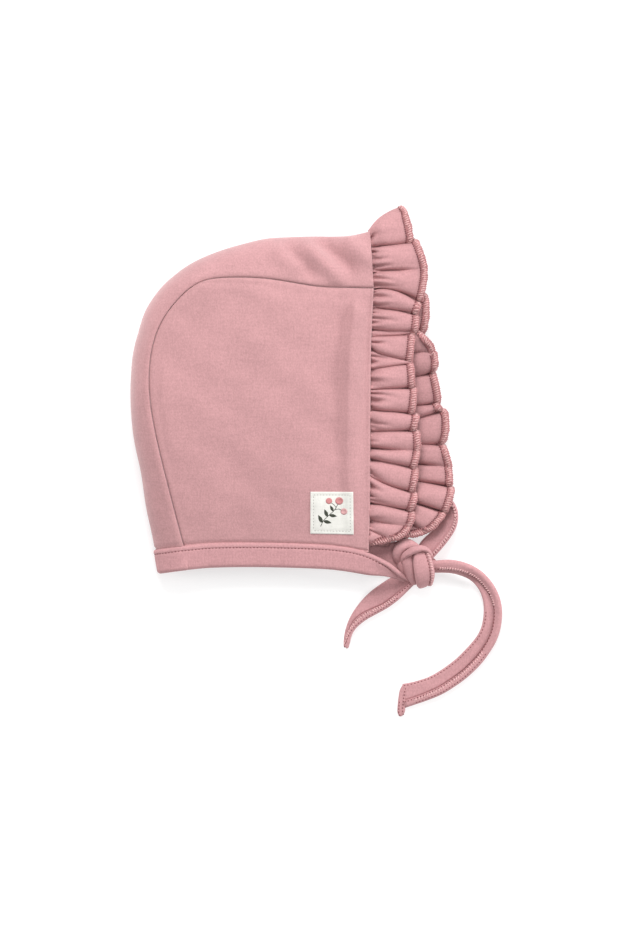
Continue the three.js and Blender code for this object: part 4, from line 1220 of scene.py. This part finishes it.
CHIN_LOOP = [
    (395.5, 551.0, 4.0, 397.0, 551.6, 3.6, 404.0, 553.0, 1.6),
    (396.5, 543.0, 4.2, 398.0, 543.6, 3.8, 405.5, 545.6, 1.5),
    (399.5, 532.5, 4.4, 401.4, 533.4, 3.8, 409.0, 536.0, 1.5),
    (404.5, 521.0, 4.4, 406.6, 522.4, 3.6, 414.5, 526.5, 1.5),
    (411.0, 510.0, 4.6, 413.2, 512.2, 3.6, 420.5, 518.5, 1.5),
    (419.5, 500.0, 5.0, 421.4, 503.4, 3.8, 427.0, 513.0, 1.5),
    (430.0, 493.5, 5.4, 430.6, 497.6, 4.4, 432.5, 510.0, 1.5),
    (441.5, 493.6, 6.0, 440.4, 497.6, 5.2, 437.6, 510.0, 1.5),
    (451.6, 499.8, 6.6, 448.8, 503.2, 6.0, 440.6, 512.0, 1.5),
    (457.0, 508.6, 7.0, 453.2, 510.6, 6.6, 441.6, 516.5, 1.5),
    (458.1, 518.6, 7.4, 453.9, 518.8, 7.0, 440.2, 521.6, 1.6),
    (455.4, 529.0, 7.8, 451.0, 527.6, 7.4, 435.6, 527.6, 1.8),
    (449.6, 538.6, 8.2, 445.4, 536.0, 7.8, 429.2, 533.2, 2.2),
    (442.0, 548.2, 8.6, 438.4, 545.2, 8.2, 422.6, 539.4, 2.8),
    (433.4, 557.6, 8.8, 430.6, 554.8, 8.4, 416.8, 547.2, 3.4),
    (426.0, 565.0, 8.4, 423.6, 562.4, 8.0, 412.0, 555.0, 3.6),
]


def tie_piece(name, rows, threads, trough, inner_row=None, more=()):
    """One tie as a tape, with its stitches.

    threads has the stretches of cross threads: begin and end as shares of the tie, how far in they lie as
    a share of the hem, and whether an outer row of stitches goes with them. trough is how deep the face
    sags, how far its plain edge rises, and the share where both begin to end. inner_row is the share
    where a second row of stitches begins. more is not used.
    """
    three = spatial(rows, 40 * len(rows))
    middle = (three[:, :3] + three[:, 3:6] + 2 * three[:, 6:]) / 4
    at, middle, three = resample(middle, TAPE_STEP, three)
    wobble = 0.14 * ripples(at, 0, (8, 26), seed=len(rows)) * smooth(at / 8)
    three[:, [2, 5]] += wobble[:, None]
    sag, rise, fade_from = trough
    stands = smooth(at / 14) * (1 - smooth((at / at[-1] - fade_from) / 0.3))
    three[:, 8] += rise * stands
    rings, line_at = tape(
        three,
        TIE_WALL / 2 - 0.1,
        rim=0.9,
        groove=0.7,
        ends=(1.0, 0.8),
        sag=sag * stands,
        steep=1.2 + 1.35 * sag * stands,
    )
    keep_above(rings, TIE_GAP)
    piece = new_piece(name, [sweep(rings)], binding_cloth, ["tie_" + name])
    hem = np.linalg.norm(three[:, :3] - three[:, 3:6], axis=1)
    points, up = line_at(np.maximum(hem - 1.1, 0.4), 0.02)
    dots = stitch_row(points, up, "tie")
    if inner_row is not None:
        first = int(np.searchsorted(at, inner_row * at[-1]))
        points, up = line_at(-1.1, -0.05)
        dots += stitch_row(points[first:], up[first:], "tie inner")
    light = []
    for begin, end, inwards, outer_row in threads:
        part = slice(*(int(np.searchsorted(at, share * at[-1])) for share in (begin, end)))
        points, up = line_at(hem * inwards)
        light += cross_threads(points[part], up[part], three[part, :3], pitch=1.45, length=1.8)
        if outer_row:
            points, up = line_at(0.75)
            dots += stitch_row(points[part], up[part], "tie outer")
    pieces = [
        new_piece(name + "_stitches", dots, thread_and_hole_shade),
        new_piece(name + "_threads", light, tie_thread),
    ]
    round(float(along_line(middle)[-1]) * MM, 4)


# The long tail's end is turned over once and sewn down, and its corner hangs out a little
END_HEM = [
    (403.0, 684.2, 1.5, 404.0, 684.8, 1.6, 405.8, 684.6, 1.6),
    (399.9, 689.6, 1.6, 403.0, 690.0, 1.7, 405.9, 689.6, 1.7),
    (398.4, 697.0, 1.6, 402.2, 697.4, 1.8, 405.8, 697.2, 1.7),
    (397.6, 705.0, 1.7, 401.6, 705.6, 1.9, 405.4, 705.6, 1.8),
    (397.3, 711.5, 1.6, 401.0, 712.0, 1.8, 404.8, 711.6, 1.7),
    (399.0, 716.0, 1.4, 400.6, 716.4, 1.5, 402.8, 715.4, 1.4),
]


def turned_end():
    """The hem at the long tail's end, and its two rows of stitches."""
    rings, line_at = tape(spatial(END_HEM, 46), 0.95, rim=0.25, groove=0.1, ends=(0.8, 1.0), puff=0.1)
    keep_above(rings, TIE_GAP)
    end = new_piece("tail_end", [sweep(rings)], binding_cloth)
    inner, inner_up = line_at(2.9, 0.02)
    outer, outer_up = line_at(0.9, 0.02)
    dots = stitch_row(inner, inner_up, "tie") + stitch_row(outer[22:], outer_up[22:], "tie")
    return [end, new_piece("tail_end_stitches", dots, thread_and_hole_shade)]


tie_piece(
    "tail_long",
    LONG_TAIL,
    threads=[(0.08, 0.4, 0.68, False), (0.6, 0.97, 0.5, True)],
    trough=(0.0, 0.0, 0.5),
    inner_row=0.42,
    more=turned_end(),
)
tie_piece("tail_short", SHORT_TAIL, threads=[(0.4, 0.99, 0.5, True)], trough=(1.4, 0.5, 0.2))
tie_piece("chin_loop", CHIN_LOOP, threads=[(0.45, 0.97, 0.5, True)], trough=(0.2, 2.4, 0.75))

# The knot's bands: rows of the hemmed edge and the plain edge, x and y in pixels and height in mm, then
# half the band's wall, how far its hem stands out, and how far its face swells
KNOT_BANDS = [
    # the left lobe, a fold of the lower tie that comes up from behind
    ([(398.0, 567.4, 2.4, 405.0, 562.0, 3.0), (394.6, 561.8, 4.6, 403.6, 559.0, 5.4),
      (393.0, 554.6, 6.2, 402.8, 556.0, 8.6), (394.8, 547.2, 7.4, 403.8, 553.4, 10.0),
      (399.6, 541.0, 7.8, 406.0, 551.4, 10.6), (406.4, 539.4, 7.2, 409.8, 550.0, 10.2),
      (413.0, 543.2, 6.2, 414.0, 550.6, 9.0), (418.0, 549.0, 5.6, 418.0, 553.0, 8.0)], 1.6, 0.0, 1.5),
    # the inner strip
    ([(418.0, 549.0, 9.4, 405.4, 550.6, 7.2), (413.2, 555.4, 11.2, 402.9, 557.8, 8.8),
      (412.8, 561.4, 11.8, 402.6, 563.0, 9.0), (413.2, 567.6, 11.6, 403.4, 568.8, 8.4),
      (414.2, 573.6, 10.4, 405.6, 574.6, 7.0), (416.0, 579.0, 8.4, 409.6, 579.2, 5.2),
      (418.0, 582.6, 6.4, 414.0, 582.6, 4.0)], 1.3, 0.0, 0.9),
    # the wide front strip, with its stitched hem to the right
    ([(424.0, 548.6, 9.0, 414.0, 549.0, 9.6), (429.4, 553.6, 11.6, 413.2, 555.4, 13.0),
      (432.2, 560.4, 12.4, 413.0, 563.4, 13.9), (433.8, 567.6, 12.4, 413.7, 571.0, 13.7),
      (434.4, 573.8, 11.2, 414.9, 578.2, 12.2), (433.4, 578.8, 8.8, 416.2, 584.0, 9.6),
      (431.6, 580.8, 6.0, 417.0, 586.2, 6.6), (430.2, 581.6, 4.6, 417.6, 586.6, 5.0)], 1.4, 0.5, 0.5),
    # the arch over the top
    ([(402.4, 565.6, 5.4, 404.6, 566.0, 7.6), (401.9, 559.4, 8.0, 404.2, 561.0, 10.2),
      (403.2, 553.6, 10.6, 406.2, 557.6, 12.8), (407.6, 549.6, 12.6, 410.2, 555.2, 14.8),
      (413.2, 546.6, 13.8, 414.8, 552.8, 15.8), (419.4, 545.4, 14.2, 419.6, 551.2, 15.9),
      (424.8, 546.8, 13.6, 423.8, 551.0, 15.2), (428.6, 549.8, 12.6, 427.0, 552.6, 14.2),
      (430.8, 554.6, 11.0, 429.0, 555.8, 12.6)], 1.05, 0.0, 0.35),
]
KNOT_STATIONS = 70
# The stretch of a band that carries stitches and threads
KNOT_STITCHED = slice(10, 60)
CORE_CENTRE = np.array([23.8, 6.2, 6.0]) + PATTERN
CORE_RADII = np.array([9.2, 8.6, 4.2])


def knot_band(rows, half_wall, rim, puff):
    """A short tape of the knot. Its hem keeps to less than half of it where the band is narrow."""
    edges = spatial(rows, KNOT_STATIONS)
    outer, plain = edges[:, :3], edges[:, 3:]
    hem = np.minimum(HEM_WIDTH / np.linalg.norm(outer - plain, axis=1), 0.45)[:, None]
    three = np.hstack([outer, outer + (plain - outer) * hem, plain])
    return tape(three, half_wall, rim, 0.45 if rim else 0.0, (1.0, 1.0), puff)


def knot_core():
    """A rounded body inside the bands."""
    angles = circle(28)
    rings = []
    for level in np.linspace(-0.98, 0.98, 15):
        wide = math.sqrt(1 - level**2)
        ring = np.column_stack([wide * np.cos(angles), wide * np.sin(angles), np.full(len(angles), level)])
        rings.append(CORE_CENTRE + CORE_RADII * ring)
    return sweep(np.array(rings))


knot_parts, knot_dots, knot_threads = [], [], []
for rows, half_wall, rim, puff in KNOT_BANDS:
    rings, line_at = knot_band(rows, half_wall, rim, puff)
    knot_parts.append(sweep(rings))
    if rim:
        points, up = (values[KNOT_STITCHED] for values in line_at(2.75))
        knot_dots += stitch_row(points, up, "knot")
        points, up = (values[KNOT_STITCHED] for values in line_at(1.3))
        ends = line_at(0.1)[0][KNOT_STITCHED]
        knot_threads += cross_threads(points, up, ends, pitch=1.5, length=1.9)
knot_parts.append(knot_core())
new_piece("knot", knot_parts, binding_cloth, ["tie_knot"])
new_piece("knot_stitches", knot_dots, thread_and_hole_shade)
new_piece("knot_threads", knot_threads, tie_thread)

# The label: a small square of off-white cloth with a folded rim, sewn on with a running stitch
LABEL_SIDE = 23.4
STITCH_INSET = 1.75
PRINT_LIFT = 0.015
LABEL_CORNERS = plan([(310.2, 533.6), (353.6, 534.4), (353.1, 491.8), (310.4, 491.6)])


def label_place(a, b):
    """A place on the label for shares across and up."""
    low = LABEL_CORNERS[0] * (1 - a)[..., None] + LABEL_CORNERS[1] * a[..., None]
    top = LABEL_CORNERS[3] * (1 - a)[..., None] + LABEL_CORNERS[2] * a[..., None]
    return low * (1 - b)[..., None] + top * b[..., None]


LABEL_MIDDLE = label_place(np.array(0.5), np.array(0.5))


def label_square(panel):
    """The label's cloth over the panel: its folded rim, the furrow of its stitches and soft waves."""
    share = fine_ends(30, LABEL_SIDE, 1.2)
    ga, gb = np.meshgrid(share, share, indexing="ij")
    xy = label_place(ga, gb)
    under = np.array([[height_on(panel, x, y) for x, y in row] for row in xy])
    from_rim = np.minimum(np.minimum(ga, 1 - ga), np.minimum(gb, 1 - gb)) * LABEL_SIDE
    puff = 0.62 + rolled(from_rim, 0.5) * 0.9 + 0.12 * smooth((from_rim - 1.7) / 1.6)
    puff -= 0.16 * bell(from_rim - STITCH_INSET, 0.4)
    puff += 0.06 * ripples(xy[..., 0], xy[..., 1], (5, 14), seed=51)
    top = np.concatenate([xy, (under + puff)[..., None]], -1)
    bottom = np.concatenate([xy, (under + CLOTH_GAP)[..., None]], -1)
    return wall(top, bottom)


label = new_piece(
    "label", [label_square(surface_of(side_upper))], label_cloth, ["label_patch"]
)
label_surface = surface_of(label)


def label_seam():
    """The running stitch round the label, a little in from its rim."""
    inset = STITCH_INSET / LABEL_SIDE
    corners = np.array([(inset, inset), (1 - inset, inset), (1 - inset, 1 - inset), (inset, 1 - inset)])
    f = np.linspace(0, 1, 30)[:-1, None]
    sides = [start + (end - start) * f for start, end in zip(corners, np.roll(corners, -1, 0))]
    shares = np.vstack([*sides, corners[:1]])
    xy = label_place(shares[:, 0], shares[:, 1])
    line = np.column_stack([xy, [height_on(label_surface, x, y) + 0.02 for x, y in xy]])
    return stitch_row(line, np.tile([0.0, 0.0, 1.0], (len(line), 1)), "label")


new_piece("label_stitches", label_seam(), label_thread)


def print_shape(outline_places):
    """A flat printed shape on the label, from its outline in mm about the label's middle."""
    places = outline_places + LABEL_MIDDLE
    middle = places.mean(0)
    rings = []
    for shrink, lift in ((1.0, 0.0), (1.0, 0.035), (0.55, 0.04), (0.12, 0.04)):
        xy = middle + (places - middle) * shrink
        z = np.array([height_on(label_surface, x, y) for x, y in xy]) + lift + PRINT_LIFT
        rings.append(np.column_stack([xy, z]))
    return sweep(np.array(rings))


def leaf(x, y, length, width, angle):
    """Outline of a leaf that starts at a place and points at an angle."""
    s = np.linspace(0, 1, 12)
    half = width / 2 * np.sin(math.pi * s**0.8)
    left, right = np.column_stack([s * length, half]), np.column_stack([s * length, -half])
    side = np.concatenate([left, right[::-1][1:-1]])
    c, d = math.cos(math.radians(angle)), math.sin(math.radians(angle))
    return side @ np.array([[c, d], [-d, c]]) + (x, y)


def berry(x, y, radius):
    a = circle(22)
    return np.column_stack([x + radius * np.cos(a), y + radius * 0.95 * np.sin(a)])


def stem(places, width):
    """A printed stalk along a smooth line, in mm about the label's middle."""
    line = spline(places, np.linspace(0, len(places) - 1, 24))
    ahead = unit(np.gradient(line, axis=0))
    side = np.column_stack([-ahead[:, 1], ahead[:, 0]]) * width / 2
    rings = []
    for p, s in zip(line + LABEL_MIDDLE, side):
        low = height_on(label_surface, *p) + 0.01
        high = low + 0.04
        rings.append([[*(p - s), low], [*(p + s), low], [*(p + s), high], [*(p - s), high]])
    return sweep(np.array(rings))


# The sprig, in mm about the label's middle. Leaves have x, y, length, width and angle in degrees, stalks
# have their places and width, and berries have x, y and radius.
LEAVES = [
    (-5.2, -5.4, 4.9, 2.1, 118),
    (-4.6, -4.4, 4.6, 1.9, -14),
    (-2.4, -2.1, 4.5, 1.9, 112),
    (-1.5, -1.2, 4.4, 1.8, -8),
    (0.8, 0.9, 3.8, 1.6, 118),
]
STALKS = [
    ([(-6.2, -7.4), (-4.6, -4.2), (-1.6, -1.2), (1.4, 1.6), (3.4, 5.0)], 0.32),
    ([(1.6, 1.8), (3.8, 2.2), (5.4, 1.4)], 0.3),
    ([(2.4, 3.0), (1.0, 4.6), (-0.6, 5.6)], 0.3),
]
BERRIES = [(4.0, 6.6, 2.2), (-1.6, 6.6, 1.8)]
PALE_BERRY = (6.6, 0.8, 1.9)
greenery = [print_shape(leaf(*row)) for row in LEAVES] + [stem(*row) for row in STALKS]
new_piece("label_leaves", greenery, leaf_print)
new_piece("label_berries", [print_shape(berry(*row)) for row in BERRIES], berry_print)
new_piece("label_berry_pale", [print_shape(berry(*PALE_BERRY))], pale_print)

# Floor and light: sizes and places in metres, power in watts
FLOOR_HALF = 3
FLOOR_GLOW = 0.55
WORLD_STRENGTH = 0.51
LIGHT_AIM = Vector((0, -0.03, 0))
LIGHTS = [
    # name, place, size, power
    ("key", (-0.1, 1.85, 1.8), 1.3, 57),
    ("left", (-2.0, 0.1, 0.8), 0.7, 9),
    ("right", (2.0, 0.3, 0.85), 0.7, 29),
    ("top", (0.2, -0.1, 2.4), 1.6, 8),
]

floor_mesh = bpy.data.meshes.new("floor")
floor_corners = [(x * FLOOR_HALF, y * FLOOR_HALF, 0) for x, y in ((-1, -1), (1, -1), (1, 1), (-1, 1))]
floor_mesh.from_pydata(floor_corners, [], [(0, 1, 2, 3)])
floor_material, _, floor_shader = make_material("floor", (0.5, 0.5, 0.5), 0.95, 0.0)
floor_shader.inputs["Emission Color"].default_value = (1, 1, 1, 1)
floor_shader.inputs["Emission Strength"].default_value = FLOOR_GLOW
floor_mesh.materials.append(floor_material)
floor = bpy.data.objects.new("floor", floor_mesh)
bpy.context.collection.objects.link(floor)

world = bpy.data.worlds.new("studio")
world.use_nodes = True
world.node_tree.nodes["Background"].inputs["Color"].default_value = (1, 1, 1, 1)
world.node_tree.nodes["Background"].inputs["Strength"].default_value = WORLD_STRENGTH
bpy.context.scene.world = world


def area_light(name, location, size, energy):
    """A round soft light that faces the bonnet."""
    data = bpy.data.lights.new(name, "AREA")
    data.shape = "DISK"
    data.size = size
    data.energy = energy
    light = bpy.data.objects.new(name, data)
    light.location = location
    light.rotation_euler = (LIGHT_AIM - Vector(location)).to_track_quat("-Z", "Y").to_euler()
    bpy.context.collection.objects.link(light)


for light_row in LIGHTS:
    area_light(*light_row)

bpy.context.scene.view_settings.view_transform = "Standard"
bpy.context.scene.view_settings.look = "None"
bpy.context.scene.view_settings.exposure = 0
bpy.context.scene.view_settings.gamma = 1
